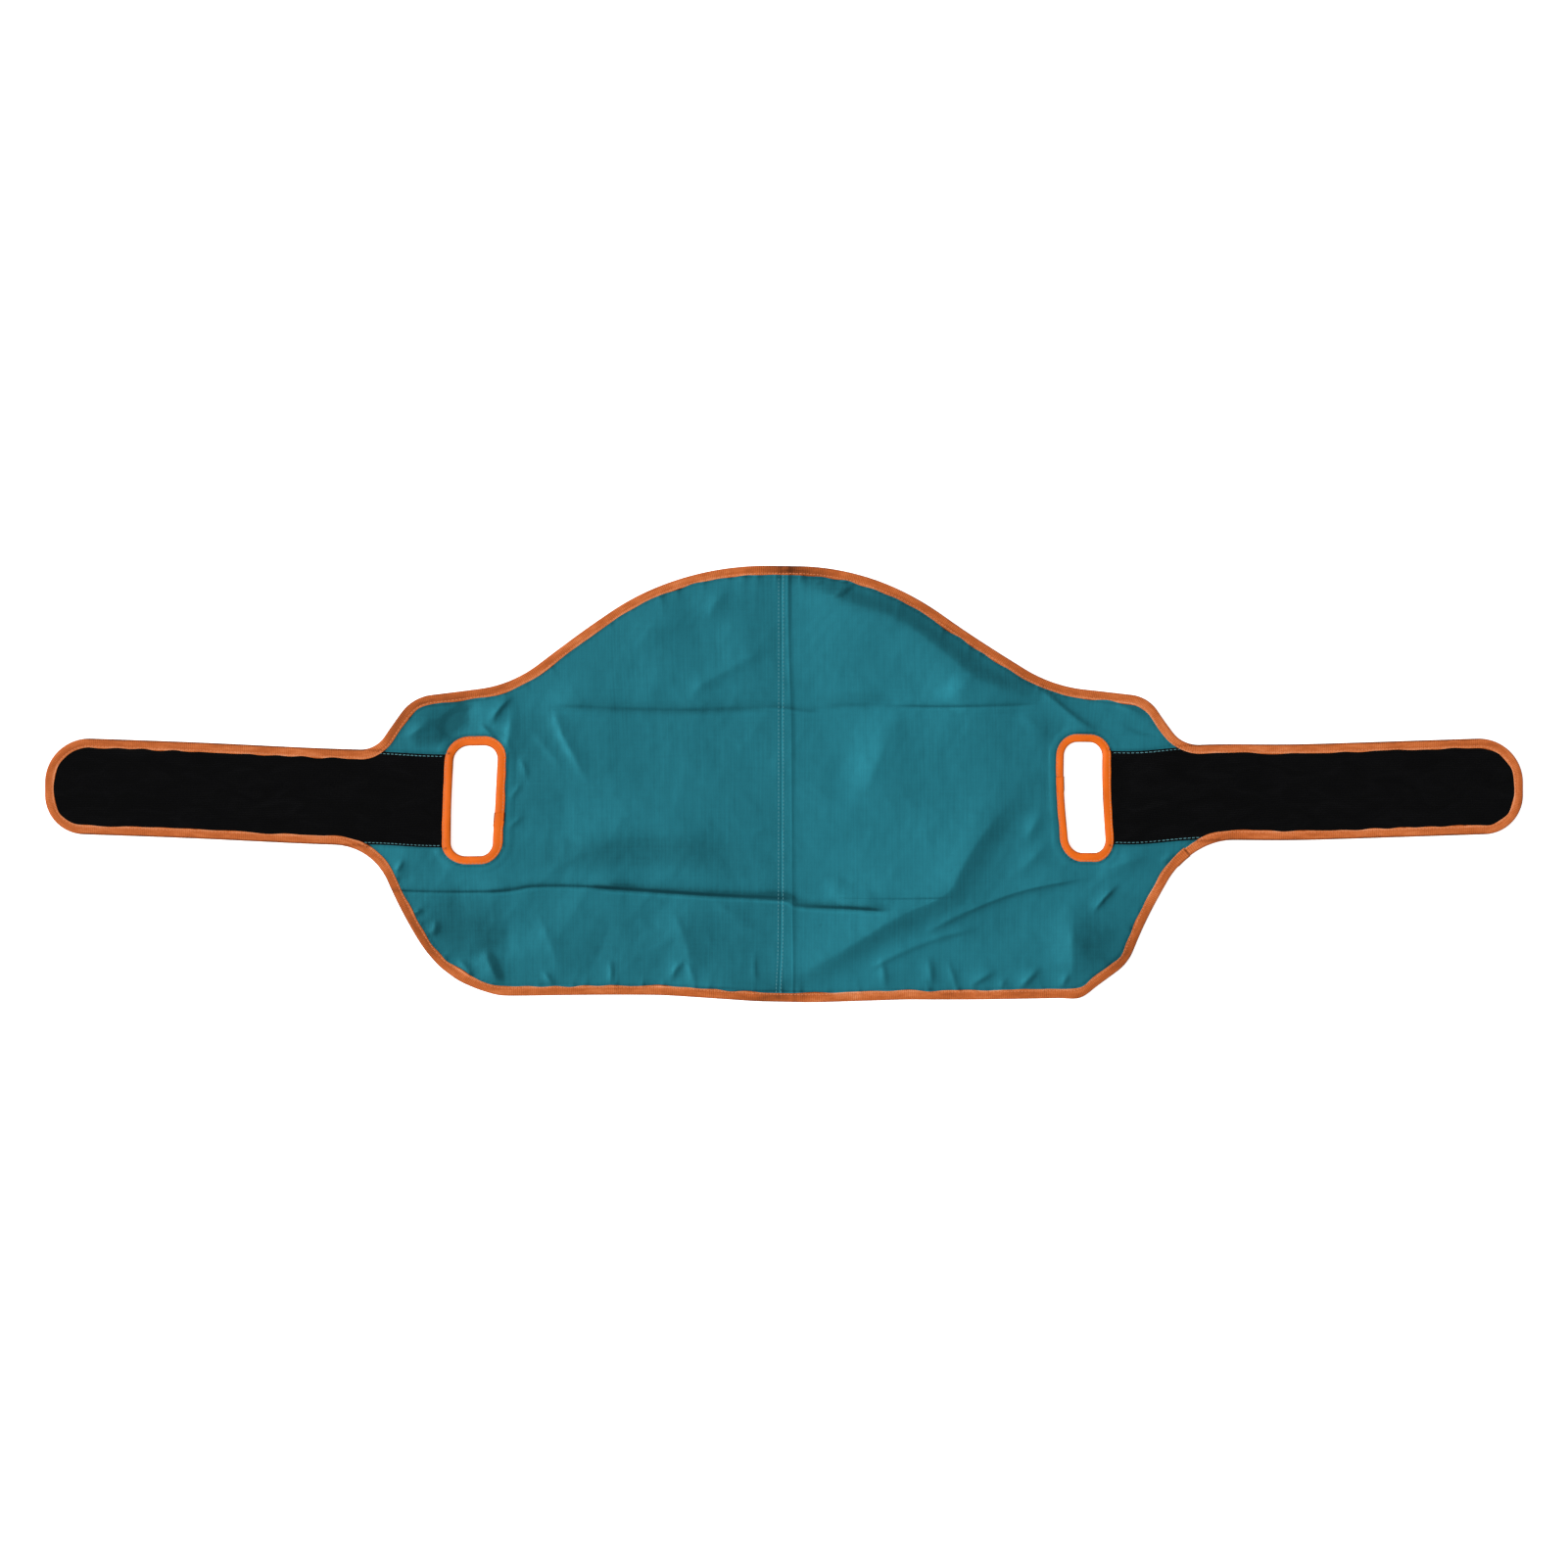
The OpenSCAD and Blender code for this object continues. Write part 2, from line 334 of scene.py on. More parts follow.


# ---- How the cloth lies: folds, creases and puckers ----

# Folds: height (negative for a valley), width on the left and on the right of the line,
# sharpness (1 a sharp crest, 2 a round one), painted shade on the lee side, and the line
FOLDS = [
    # left half, above and beside the hand slot
    (1.8, 6, 10, 1.3, 0.1, [(-328, 38), (-316, 46), (-300, 56)]),
    (-2.6, 18, 34, 1.3, 0.7, [(-302, 38), (-290, 46), (-279, 53), (-268, 66), (-262, 72)]),
    (1.0, 4, 3, 1.2, 1.1, [(-246, 37), (-254, 45), (-263, 54)]),
    (2.0, 9, 5, 1.1, 1.0, [(-253, 49), (-250, 57), (-241, 69), (-231, 78)]),
    (1.4, 5, 18, 1.1, 0.2, [(-239, 14), (-237, 40), (-233, 70)]),
    (0.9, 4, 3, 1.4, 0.3, [(-221, 2), (-222, 14), (-228, 24)]),
    (0.9, 3, 3, 1.4, 0.3, [(-236, -14), (-230, -6), (-226, 2)]),
    (0.8, 4, 3, 1.4, 0.2, [(-238, -40), (-228, -30), (-222, -26)]),
    (1.8, 5, 18, 1.1, 0.15, [(-166, -2), (-182, 25), (-195, 50), (-197, 72)]),
    (0.8, 5, 9, 1.4, 0.0, [(-186, 8), (-204, 30), (-218, 48)]),
    (-1.0, 24, 34, 1.1, 0.0, [(-190, -52), (-189, -20), (-190, 2)]),
    (1.4, 12, 20, 1.1, 0.2, [(-62, 134), (-63, 150), (-58, 158), (-44, 170)]),
    (1.2, 10, 9, 1.4, 0.0, [(-80, 68), (-75, 83), (-58, 93), (-35, 105), (-10, 120)]),
    (0.9, 22, 14, 1.6, 0.0, [(-132, 122), (-104, 140), (-76, 156)]),
    (1.8, 30, 34, 1.3, 0.28, [(-200, -54), (-130, -45), (-80, -45), (-40, -52)]),
    (0.5, 4, 4, 1.5, 0.1, [(-30, -46), (-16, -38), (-8, -34)]),
    (0.5, 4, 4, 1.5, 0.1, [(-34, -62), (-18, -66), (-7, -60)]),
    # left half, below the lower crease
    (1.2, 4, 4, 1.2, 1.1, [(-334, -78), (-330, -70), (-326, -64)]),
    (0.9, 4, 3, 1.4, 0.4, [(-316, -114), (-312, -106)]),
    (1.2, 4, 6, 1.2, 1.5, [(-303, -132), (-299, -122), (-301, -116)]),
    (1.2, 5, 4, 1.4, 0.5, [(-268, -168), (-272, -158), (-282, -150)]),
    (1.8, 12, 10, 1.1, 2.2, [(-242, -176), (-250, -160), (-259, -140)]),
    (-1.4, 44, 34, 1.1, 0.25, [(-240, -168), (-238, -140), (-238, -104)]),
    (1.5, 14, 26, 1.1, 0.2, [(-190, -174), (-196, -150), (-204, -128), (-216, -100)]),
    (1.4, 4, 3, 1.4, 0.3, [(-196, -176), (-203, -166), (-208, -160)]),
    (-1.2, 18, 32, 1.1, 0.1, [(-172, -170), (-160, -148), (-150, -124), (-148, -104)]),
    (1.1, 4, 3, 1.2, 0.5, [(-149, -176), (-148, -162), (-150, -148)]),
    (1.7, 20, 18, 1.1, 0.3, [(-78, -172), (-80, -150), (-88, -124), (-101, -100)]),
    (1.2, 7, 5, 1.2, 0.5, [(-98, -172), (-94, -160), (-84, -149)]),
    (1.0, 4, 4, 1.4, 0.0, [(-76, -174), (-80, -160), (-85, -150)]),
    (1.3, 12, 9, 1.5, 0.0, [(-6, -138), (-30, -122), (-62, -99)]),
    (1.4, 5, 5, 1.2, 0.5, [(-22, -176), (-26, -160), (-25, -140)]),
    # right half, above and beside the hand slot
    (5.0, 60, 24, 1.15, 1.1, [(250, 66), (224, 74), (176, 84), (156, 98), (120, 128), (95, 143),
                              (68, 151), (35, 163), (10, 176), (-25, 190), (-60, 200)]),
    (1.6, 4, 5, 1.1, 1.2, [(38, 159), (46, 163), (62, 173)]),
    (0.9, 3, 4, 1.4, 0.4, [(24, 171), (36, 176)]),
    (1.6, 16, 30, 1.4, 0.0, [(138, 69), (152, 83), (162, 97)]),
    (2.6, 28, 50, 1.4, 0.0, [(58, -22), (76, 5), (88, 35), (98, 74)]),
    (2.2, 11, 5, 1.1, 0.9, [(272, 42), (248, 58), (230, 74), (216, 86)]),
    (1.4, 14, 10, 1.4, 0.0, [(232, 36), (214, 52), (198, 64)]),
    (-1.0, 4, 5, 1.4, 0.6, [(326, 42), (304, 45), (290, 52)]),
    (1.2, 5, 5, 1.4, 0.6, [(314, 56), (300, 63), (284, 68)]),
    # right half, below the hand slot
    (5.0, 50, 24, 1.15, 0.6, [(-110, -196), (-30, -184), (2, -168), (20, -160), (60, -138),
                              (100, -112), (142, -96), (152, -74), (168, -46), (190, -20),
                              (206, -4)]),
    (2.2, 17, 5, 1.1, 0.5, [(118, -130), (155, -110), (200, -92), (240, -84), (264, -80)]),
    (1.4, 12, 8, 1.5, 0.0, [(196, -80), (216, -62), (232, -46)]),
    (1.6, 9, 8, 1.6, 0.0, [(206, -52), (213, -40), (222, -20)]),
    (1.2, 10, 4, 1.1, 0.4, [(70, -161), (100, -145), (130, -133), (168, -123)]),
    (1.4, 16, 30, 1.2, 0.0, [(38, -100), (44, -90), (50, -78)]),
    (1.4, 7, 6, 1.2, 0.7, [(87, -178), (86, -162), (83, -148)]),
    (1.5, 7, 7, 1.2, 0.7, [(127, -178), (126, -160), (123, -146)]),
    (1.0, 5, 4, 1.2, 0.5, [(148, -178), (146, -166), (140, -150)]),
    (1.6, 8, 5, 1.2, 0.9, [(158, -176), (168, -168), (184, -160)]),
    (1.0, 6, 4, 1.2, 0.5, [(186, -178), (190, -166)]),
    (2.0, 8, 6, 1.2, 1.0, [(200, -178), (210, -168), (222, -155)]),
    (1.2, 6, 5, 1.2, 0.7, [(236, -178), (242, -168), (246, -160)]),
    (4.6, 28, 50, 1.1, 0.8, [(250, -186), (247, -140), (249, -96)]),
    (2.0, 8, 4, 1.1, 1.3, [(264, -113), (274, -99), (289, -84)]),
    (1.8, 7, 12, 1.4, 0.1, [(266, -76), (292, -68), (316, -60)]),
    (1.0, 4, 4, 1.4, 0.3, [(324, -68), (336, -58)]),
]
# Storage creases: the cloth on the left of the line swells, then drops steeply into a small dip.
# Height and reach of the swell, width of the drop, depth of the dip, painted shade, and the line
CREASES = [
    (0.9, 14, 3.2, 0.3, 0.6, [(-206, 69.9), (-130, 66.8), (-96, 65.7), (-75, 66), (-4.6, 68.2)]),
    (1.1, 10, 1.6, 0.6, 0.9, [(-24, 68.6), (-6, 67.6), (6.3, 66), (20.6, 63.5), (38, 64)]),
    (1.0, 14, 3.6, 0.3, 0.45, [(22, 69), (48, 70.5), (71, 71), (96, 69)]),
    (0.7, 12, 1.6, 0.4, 0.5, [(84, 68.5), (138, 67.4), (168, 68.1), (222, 69.9)]),
    (0.8, 9, 1.4, 0.4, 0.5, [(-350, -90), (-290, -92), (-226, -91)]),
    (1.1, 9, 1.8, 0.6, 0.9, [(-262, -91.8), (-230, -89.3), (-218, -86), (-174, -86.4),
                             (-122, -89.6)]),
    (2.0, 10, 2.2, 0.9, 1.9, [(-170, -86.8), (-150, -87.8), (-84, -92.3), (-58, -93.9),
                              (-4.6, -96.4), (20, -98)]),
    (2.0, 10, 2.2, 0.9, 1.9, [(-30, -94.6), (3, -96.6), (7, -99.5), (11.8, -103),
                              (37.5, -104.3), (66, -105.4), (96, -108)]),
    (0.6, 9, 1.2, 0.3, 0.3, [(36, -96.9), (94, -98.2), (150, -96.9)]),
]
# Where a crease's painted shadow lies below its line, and how wide it is above and below its
# middle;
# where the painted highlight on the lip lies below the shadow, its width and its strength. Lengths
# are in drops.
SHADOW_AT, SHADOW_ABOVE, SHADOW_BELOW = 0.8, 2.2, 0.8
LIP_AT, LIP_WIDTH, LIP_HIGHLIGHT = 1.7, 0.5, 0.3
CREASE_END = 26
# A fold's ends fade out over this length and this share of its width, and its width is where it
# has fallen to about a fifth
FOLD_END, END_PER_WIDTH = 10, 1.1
FOLD_FALL = 0.7
# Folds and creases die out within this many widths
LINE_REACH = 3
# A fold has painted shade on its lee side: how far from its line, and how widely, in widths
FOLD_SHADE_AT, FOLD_SHADE_WIDTH = 0.3, 0.4
# Most of a line's length that the fade at either end may take
MOST_FADE = 0.45
# Folds stay off the bound edge over this distance
EDGE_FREE = 12

# Painted shade on the cloth, and painted light where the amount is negative: amount, half width,
# and the line
PAINTED_PATCHES = [
    (0.42, 15, [(-225, -62), (-120, -57), (-20, -66)]),
    (0.18, 34, [(-190, -140), (-100, -136), (-20, -140)]),
    (0.28, 4, [(-180, 62), (-100, 60), (-30, 62)]),
    (0.22, 4, [(24, 72), (56, 75), (92, 75)]),
    (0.62, 24, [(-300, -100), (-272, -118), (-258, -150)]),
    (0.35, 14, [(-252, -94), (-252, -178)]),
    (0.9, 4, [(-298, 44), (-286, 56), (-272, 70)]),
    (0.5, 5, [(-320, 36), (-300, 38), (-282, 44)]),
    (0.35, 14, [(172, -54), (195, -22), (226, 12)]),
    (0.45, 30, [(-345, -70), (-310, -110), (-280, -150)]),
    (0.55, 11, [(-292, 62), (-280, 46)]),
    (0.60, 24, [(-350, 45), (-300, 52), (-260, 64)]),
    (-0.55, 7, [(158, 98), (148, 84), (128, 72)]),
    (-0.42, 12, [(88, 74), (68, 30), (42, -36)]),
    (0.28, 21, [(-214, 70), (-213, 10), (-216, -44)]),
    (0.25, 11, [(229, 70), (229, 10), (232, -40)]),
    (-0.30, 14, [(40, -182), (90, -150), (140, -122)]),
    (0.35, 30, [(275, -160), (290, -120), (300, -90)]),
    (1.2, 1.2, [(29.6, -121.3), (31.6, -121.3)]),
]
# Share of its line that each end fades over, how sharp its sides are, and reach in half widths
PAINTED_PATCH_FADE, PAINTED_PATCH_SHARPNESS, PAINTED_PATCH_REACH = 0.14, 3, 2.5

# The centre seam: its groove, the lap of cloth from there to the centre fold, and the ridge that
# the fold has left. Painted shade in the groove and beside the ridge comes and goes along them:
# mean share, swing, and lengths
SEAM_LINE = [(-2.1, 195), (-2.1, -139), (-4.0, -168), (-4.8, -195)]
SEAM_GROOVE, GROOVE_WIDTH, GROOVE_SHADE = 0.2, 0.7, 0.6
LAP_HEIGHT, LAP_STEP, LAP_END = 0.08, 0.8, (4, 8)
RIDGE_LINE = [(3.4, 195), (3.8, 120), (6.4, 66), (6.8, 0), (7.0, -96), (8.0, -150), (7.4, -195)]
CENTRE_RIDGE, RIDGE_LEFT, RIDGE_RIGHT = 0.45, 1.4, 3.0
RIDGE_SHADE, RIDGE_SHADE_AT, RIDGE_SHADE_WIDTH = 0.55, 2.0, 1.7
GROOVE_SHADE_SWING, RIDGE_SHADE_SWING = (0.6, 0.4, 11, 31), (0.7, 0.3, 23)
SEAM_REACH = 30

# Random undulation: seed, number of waves, shortest and longest wave, height
ROLLS = [(11, 14, 70, 170, 0.30), (23, 22, 26, 60, 0.06), (37, 30, 9, 22, 0.025)]
# Faint sharp ridges, left by earlier crumpling: the same columns
RIDGES = [(53, 16, 55, 130, 0.18), (59, 16, 22, 50, 0.05)]
# The undulation is bent sideways by slow sines, so that no wave runs straight: amount, length
# and phase, along x and along y
BEND_X, BEND_Y = [(9, 47, 0), (4, 19, 1)], [(8, 61, 0)]
# How far the cloth stands off the table between the folds
LOFT = 1.3

# Share of the undulation that is lost on the arms, on the strips, by the centre fold and at the
# bound edge, and how far the last two reach
ARM_CALM, STRIP_CALM, SEAM_CALM, EDGE_CALM = 0.65, 0.6, 0.2, 0.65
SEAM_CALM_REACH, EDGE_CALM_REACH = 26, 40
# The panel has become an arm between these
ARM_ROOT = (300, 360)
# Share of a fold's and of a crease's height that is lost by the centre fold, so that the folded
# belt lies close, and how far that reaches
FOLD_PRESSED, CREASE_PRESSED, PRESSED_REACH = 0.85, 0.8, 45

# Gathers along the bound edge
PUCKER_SEED, PUCKER_STEP = 7, 0.5
PUCKER_GAP, PUCKER_WIDTH, PUCKER_HEIGHT = (9, 30), (1.5, 3.2), (0.15, 0.85)
# PUCKER_SHADE is painted shade on the gathers, in step with their height
PUCKER_REACH, PUCKER_SHADE = 5.0, 1.5
# The higher this is, the rarer the high ones
PUCKER_RARITY = 2.2
# They slant, more and more inwards, one way and the other along the edge
PUCKER_SLANT, SLANT_LENGTH = 0.3, 90
# Share of their height on the tape's fold, and on an arm, and where they rise to all of it
PUCKER_ON_TAPE, PUCKER_ON_ARM = 0.25, 0.2
PUCKER_RISE = (2, TAPE_W + 1)

PATCH_RISE, PATCH_SLOPE = 0.3, 1.2
DEEPEST_VALLEY = 0.9
# Length over which the left tip rises onto its hook patch
TIP_LIFT_LENGTH = 30

# Painted shadow along the two tapes and beside the strips: where it starts, is thickest, and how
# wide it is
EDGE_SHADOW, RING_SHADOW, STRIP_SHADOW = 0.9, 1.6, 0.8
SHADOW_LINE_FROM, SHADOW_LINE_AT, SHADOW_LINE_WIDTH = 0.3, 0.8, 1.2
# The tapes have painted shade round their folds, and the edge tape a pale line along its inner
# edge: amount and width
RING_FOLD_SHADE, EDGE_FOLD_SHADE, INNER_EDGE_PALE = (1.0, 0.6), (0.9, 0.4), (0.7, 0.6)
INNER_EDGE_IN = 0.4
# Range of the painted shade, with painted light below 0
SHADE_RANGE = (-1, 2)


def smooth_line(points, rounds=3):
    """Chaikin's corner cutting, with the ends kept."""
    line = np.array(points, float)
    for _ in range(rounds):
        near, far = line[:-1] * 0.75 + line[1:] * 0.25, line[:-1] * 0.25 + line[1:] * 0.75
        inner = np.stack((near, far), 1).reshape(-1, 2)
        line = np.vstack((line[:1], inner, line[-1:]))
    return line


def from_line(x, y, points, reach):
    """Which points lie within reach of a line, their signed distance to its left, how far along
    it they are (0 to 1), and its length."""
    line = smooth_line(points)
    low, high = line.min(0) - reach, line.max(0) + reach
    near = np.nonzero((x > low[0]) & (x < high[0]) & (y > low[1]) & (y < high[1]))[0]
    px, py = x[near], y[near]
    best, side, share = np.full(px.shape, FAR), np.ones(px.shape), np.zeros(px.shape)
    steps = np.diff(line, axis=0)
    lengths = np.hypot(*steps.T)
    run = np.r_[0, np.cumsum(lengths)]
    for (ax, ay), (sx, sy), length, start in zip(line, steps, lengths, run):
        t = np.clip(((px - ax) * sx + (py - ay) * sy) / length**2, 0, 1)
        ex, ey = px - ax - t * sx, py - ay - t * sy
        distance = np.hypot(ex, ey)
        closer = distance < best
        best = np.where(closer, distance, best)
        side = np.where(closer, np.where(sx * ey - sy * ex < 0, -1.0, 1.0), side)
        share = np.where(closer, (start + t * length) / run[-1], share)
    return near, best * side, share, run[-1]


def ends_taper(share, taper):
    """1 along a line, falling to 0 over that share of it at either end."""
    return smoothstep(share, 0, taper) * smoothstep(1 - share, 0, taper)


def waves(x, y, seed, count, shortest, longest):
    """Unit noise made of plane waves in random directions."""
    rng = np.random.default_rng(seed)
    total = np.zeros_like(x)
    for _ in range(count):
        length = math.exp(rng.uniform(math.log(shortest), math.log(longest)))
        angle, phase = rng.uniform(0, math.pi), rng.uniform(0, 2 * math.pi)
        along = x * math.cos(angle) + y * math.sin(angle)
        total += np.sin(2 * math.pi * along / length + phase)
    return total / math.sqrt(count / 2)


def make_puckers():
    """Height of the gathers along the bound edge, by arc length."""
    rng = np.random.default_rng(PUCKER_SEED)
    s = np.arange(0, outline.length, PUCKER_STEP)
    height = np.zeros_like(s)
    at = 0.0
    while at < outline.length:
        width = rng.uniform(*PUCKER_WIDTH)
        least, most = PUCKER_HEIGHT
        rise = least + (most - least) * rng.random() ** PUCKER_RARITY
        apart = np.abs(s - at)
        apart = np.minimum(apart, outline.length - apart)
        height += rise * bell(apart, width)
        at += rng.uniform(*PUCKER_GAP)
    return s, height


pucker_s, pucker_height = make_puckers()


def bend(along, sines):
    """Sideways shift, made of slow sines."""
    return sum(amount * np.sin(along / length + phase) for amount, length, phase in sines)


def undulation(rest_x, rest_y):
    """Height of loose cloth off the table."""
    at = rest_x + bend(rest_y, BEND_X), rest_y + bend(rest_x, BEND_Y)
    rolls = sum(height * waves(*at, *kind) for *kind, height in ROLLS)
    ridges = sum(height * np.abs(waves(*at, *kind)) for *kind, height in RIDGES)
    return np.maximum(rolls - ridges + LOFT, 0)


def add_folds(rise, soil, rest_x, rest_y, share_left):
    """Lifts the cloth over its folds, to the share that is left of them at each point."""
    for height, left, right, sharpness, shade_amount, line in FOLDS:
        near, apart, share, length = from_line(
            rest_x, rest_y, line, LINE_REACH * max(left, right)
        )
        width = FOLD_FALL * np.where(apart > 0, left, right)
        end = FOLD_END + END_PER_WIDTH * max(left, right)
        taper = ends_taper(share, min(MOST_FADE, end / length))
        crest = np.exp(-((np.abs(apart) / width) ** sharpness))
        rise[near] += height * crest * taper * share_left[near]
        # painted shade on each fold's lee side
        lee = right if height > 0 else -left
        soil[near] += shade_amount * bell(apart + FOLD_SHADE_AT * lee, FOLD_SHADE_WIDTH * lee) * taper


def add_creases(rise, soil, rest_x, rest_y, share_left):
    """A swell and a dip at each crease, with a painted shadow and a painted highlight on the lip
    below it.
    """
    for height, reach, drop, dip, shade_amount, line in CREASES:
        near, apart, share, length = from_line(rest_x, rest_y, line, LINE_REACH * reach)
        taper = ends_taper(share, min(MOST_FADE, CREASE_END / length))
        swell = height * bell(apart, np.where(apart > 0, reach, drop))
        trough = dip * bell(apart + drop, drop)
        rise[near] += (swell - trough) * taper * share_left[near]
        # painted shadow below the crease, and a painted highlight on its lip
        from_dip = apart + SHADOW_AT * drop
        shadow = bell(from_dip, np.where(from_dip > 0, SHADOW_ABOVE, SHADOW_BELOW) * drop)
        lip_highlight = LIP_HIGHLIGHT * bell(from_dip + LIP_AT * drop, LIP_WIDTH * drop)
        soil[near] += shade_amount * (shadow - lip_highlight) * taper


def add_painted_patches(soil, rest_x, rest_y):
    # patches of painted shade, and of painted light where the amount is negative
    for shade_amount, half, line in PAINTED_PATCHES:
        near, apart, share, _ = from_line(rest_x, rest_y, line, PAINTED_PATCH_REACH * half)
        band = np.exp(-np.abs(apart / half) ** PAINTED_PATCH_SHARPNESS)
        soil[near] += shade_amount * band * ends_taper(share, PAINTED_PATCH_FADE)


def wear_and_shade(along, mean, swing, *lengths):
    """Share of the painted shade that is left along a line, between mean - swing and mean + swing.
    """
    return mean + swing * math.prod(np.sin(along / length) for length in lengths)


def add_centre_seam(rise, soil, rest_x, rest_y):
    """The seam's groove and lap, then the centre fold's ridge."""
    near, apart, _, _ = from_line(rest_x, rest_y, SEAM_LINE, SEAM_REACH)
    lap = smoothstep(apart, 0, LAP_STEP) * (1 - smoothstep(rest_x[near], *LAP_END))
    groove = bell(apart, GROOVE_WIDTH)
    rise[near] += LAP_HEIGHT * lap - SEAM_GROOVE * groove
    # painted shade in the seam's groove
    soil[near] += GROOVE_SHADE * wear_and_shade(rest_y[near], *GROOVE_SHADE_SWING) * groove

    near, apart, _, _ = from_line(rest_x, rest_y, RIDGE_LINE, SEAM_REACH)
    width = np.where(apart > 0, RIDGE_LEFT, RIDGE_RIGHT)
    rise[near] += CENTRE_RIDGE * np.exp(-np.abs(apart) / width)
    # painted shade on the lee side of the centre ridge
    shade_amount = RIDGE_SHADE * wear_and_shade(rest_y[near], *RIDGE_SHADE_SWING)
    soil[near] += shade_amount * bell(apart - RIDGE_SHADE_AT, RIDGE_SHADE_WIDTH)


def edge_puckers(s, inwards):
    """Height of the gathers: full beside the tape, and fading into the cloth."""
    skewed = s + PUCKER_SLANT * inwards * np.sin(s / SLANT_LENGTH)
    fade = np.exp(-np.maximum(inwards - TAPE_W, 0) / PUCKER_REACH)
    beside = PUCKER_ON_TAPE + (1 - PUCKER_ON_TAPE) * smoothstep(inwards, *PUCKER_RISE)
    return np.interp(np.mod(skewed, outline.length), pucker_s, pucker_height) * fade * beside


def add_tape_shade(soil, inwards, from_slot, from_strip):
    """Painted shadow beside tapes and strips, painted shade round the tapes' folds, and a pale line
    along the edge tape's inner edge.
    """
    for beside, line_shade in (
        (inwards - TAPE_W, EDGE_SHADOW),
        (from_slot - RING_TAPE_W, RING_SHADOW),
        (from_strip, STRIP_SHADOW),
    ):
        soil += line_shade * bell(beside - SHADOW_LINE_AT, SHADOW_LINE_WIDTH) * (beside > SHADOW_LINE_FROM)
    for from_fold, (shade_amount, width) in ((from_slot, RING_FOLD_SHADE), (inwards, EDGE_FOLD_SHADE)):
        soil += shade_amount * bell(np.maximum(from_fold, 0), width)
    pale, width = INNER_EDGE_PALE
    # a paler line along the edge tape's inner edge
    soil -= pale * bell(inwards - TAPE_W + INNER_EDGE_IN, width)


def relief(x, y, rest_x, rest_y):
    """Rise of the cloth above its flat layer, and its painted shade (painted light below 0).
    Folds and creases are placed where the cloth lies."""
    s, inwards = edge_place(x, y)
    from_slot = slot_distance(x, y)
    on_strip = strip_cover(x, y)
    on_arm = smoothstep(np.abs(x), *ARM_ROOT)

    calm = (1 - ARM_CALM * on_arm) * (1 - STRIP_CALM * on_strip)
    calm = calm * (1 - SEAM_CALM * bell(x - SEAM_FOLD_X, SEAM_CALM_REACH))
    calm = calm * (1 - EDGE_CALM + EDGE_CALM * smoothstep(inwards, 0, EDGE_CALM_REACH))
    rise, soil = undulation(rest_x, rest_y) * calm, np.zeros_like(x)

    pressed = bell(x - SEAM_FOLD_X, PRESSED_REACH)
    free = (1 - FOLD_PRESSED * pressed) * (1 - on_strip) * smoothstep(inwards, 0, EDGE_FREE)
    add_folds(rise, soil, rest_x, rest_y, free)
    add_painted_patches(soil, rest_x, rest_y)
    add_creases(rise, soil, rest_x, rest_y, 1 - CREASE_PRESSED * pressed)
    add_centre_seam(rise, soil, rest_x, rest_y)

    pucker = edge_puckers(s, inwards)
    rise += pucker * (1 - (1 - PUCKER_ON_ARM) * on_arm) * (1 - on_strip)
    # painted shade on the gathers
    soil += PUCKER_SHADE * pucker * (inwards > TAPE_W)
    patch = smoothstep(from_slot, PATCH_MARGIN + PATCH_SLOPE, PATCH_MARGIN - PATCH_SLOPE)
    rise += PATCH_RISE * patch * (1 - on_strip)

    outside_strip = np.abs(y - arm_line(x)) - STRIP_W / 2
    from_strip = np.where(np.abs(x) < STRIP_START, FAR, outside_strip)
    add_tape_shade(soil, inwards, from_slot, from_strip)
    return np.maximum(rise, -DEEPEST_VALLEY), np.clip(soil, *SHADE_RANGE)


def tip_lift(x):
    """The left tip rides up over its hook patch."""
    patch_end = HALF_L - HOOK_MARGIN - HOOK_L
    return (HOOK_T - TAPE_T) * smoothstep(-x, patch_end - TIP_LIFT_LENGTH, patch_end)


def settle(x, y, z, valleys):
    """Places flat points at height z on the table, in metres, and gives their painted shade.
    Valleys is 1 where a point also follows the dips between folds, and 0 where it doesn't."""
    rest_x, rest_y = lay(x, y)
    rise, soil = relief(x, y, rest_x, rest_y)
    rise = np.maximum(rise, 0) + valleys * np.minimum(rise, 0)
    return np.stack((rest_x, rest_y, z + rise + tip_lift(x)), -1) * MM, soil


# ---- Flat parts: grids of cloth, swept tapes and rows of stitches ----

# Pitch of a cloth's grid lines across the seam, and across the storage creases
FINE_PITCH_X, FINE_PITCH_Y = 0.5, 0.6
# How far grid lines go past the cloth, and past a strip's or patch's inner end
GRID_MARGIN, END_MARGIN = 1, 2


class Flat:
    """A part laid out flat: points x, y at height z, faces of four points, and a UV map in
    metres. Valleys says how far each point follows the dips between folds, as in settle()."""

    def __init__(self, x, y, z, valleys, faces, uv):
        count = len(x)
        self.x, self.y = np.asarray(x, float), np.asarray(y, float)
        self.z = np.broadcast_to(np.asarray(z, float), (count,))
        self.valleys = np.broadcast_to(np.asarray(valleys, float), (count,))
        self.faces, self.uv = np.asarray(faces, int), np.asarray(uv, float)


def joined(parts):
    """Several flat parts as one."""
    starts = np.r_[0, np.cumsum([len(p.x) for p in parts])]
    faces = [p.faces + start for p, start in zip(parts, starts)]
    columns = [[getattr(p, name) for p in parts] for name in ("x", "y", "z", "valleys", "uv")]
    *columns, uv = (np.concatenate(column) for column in columns)
    return Flat(*columns, np.concatenate(faces), uv)


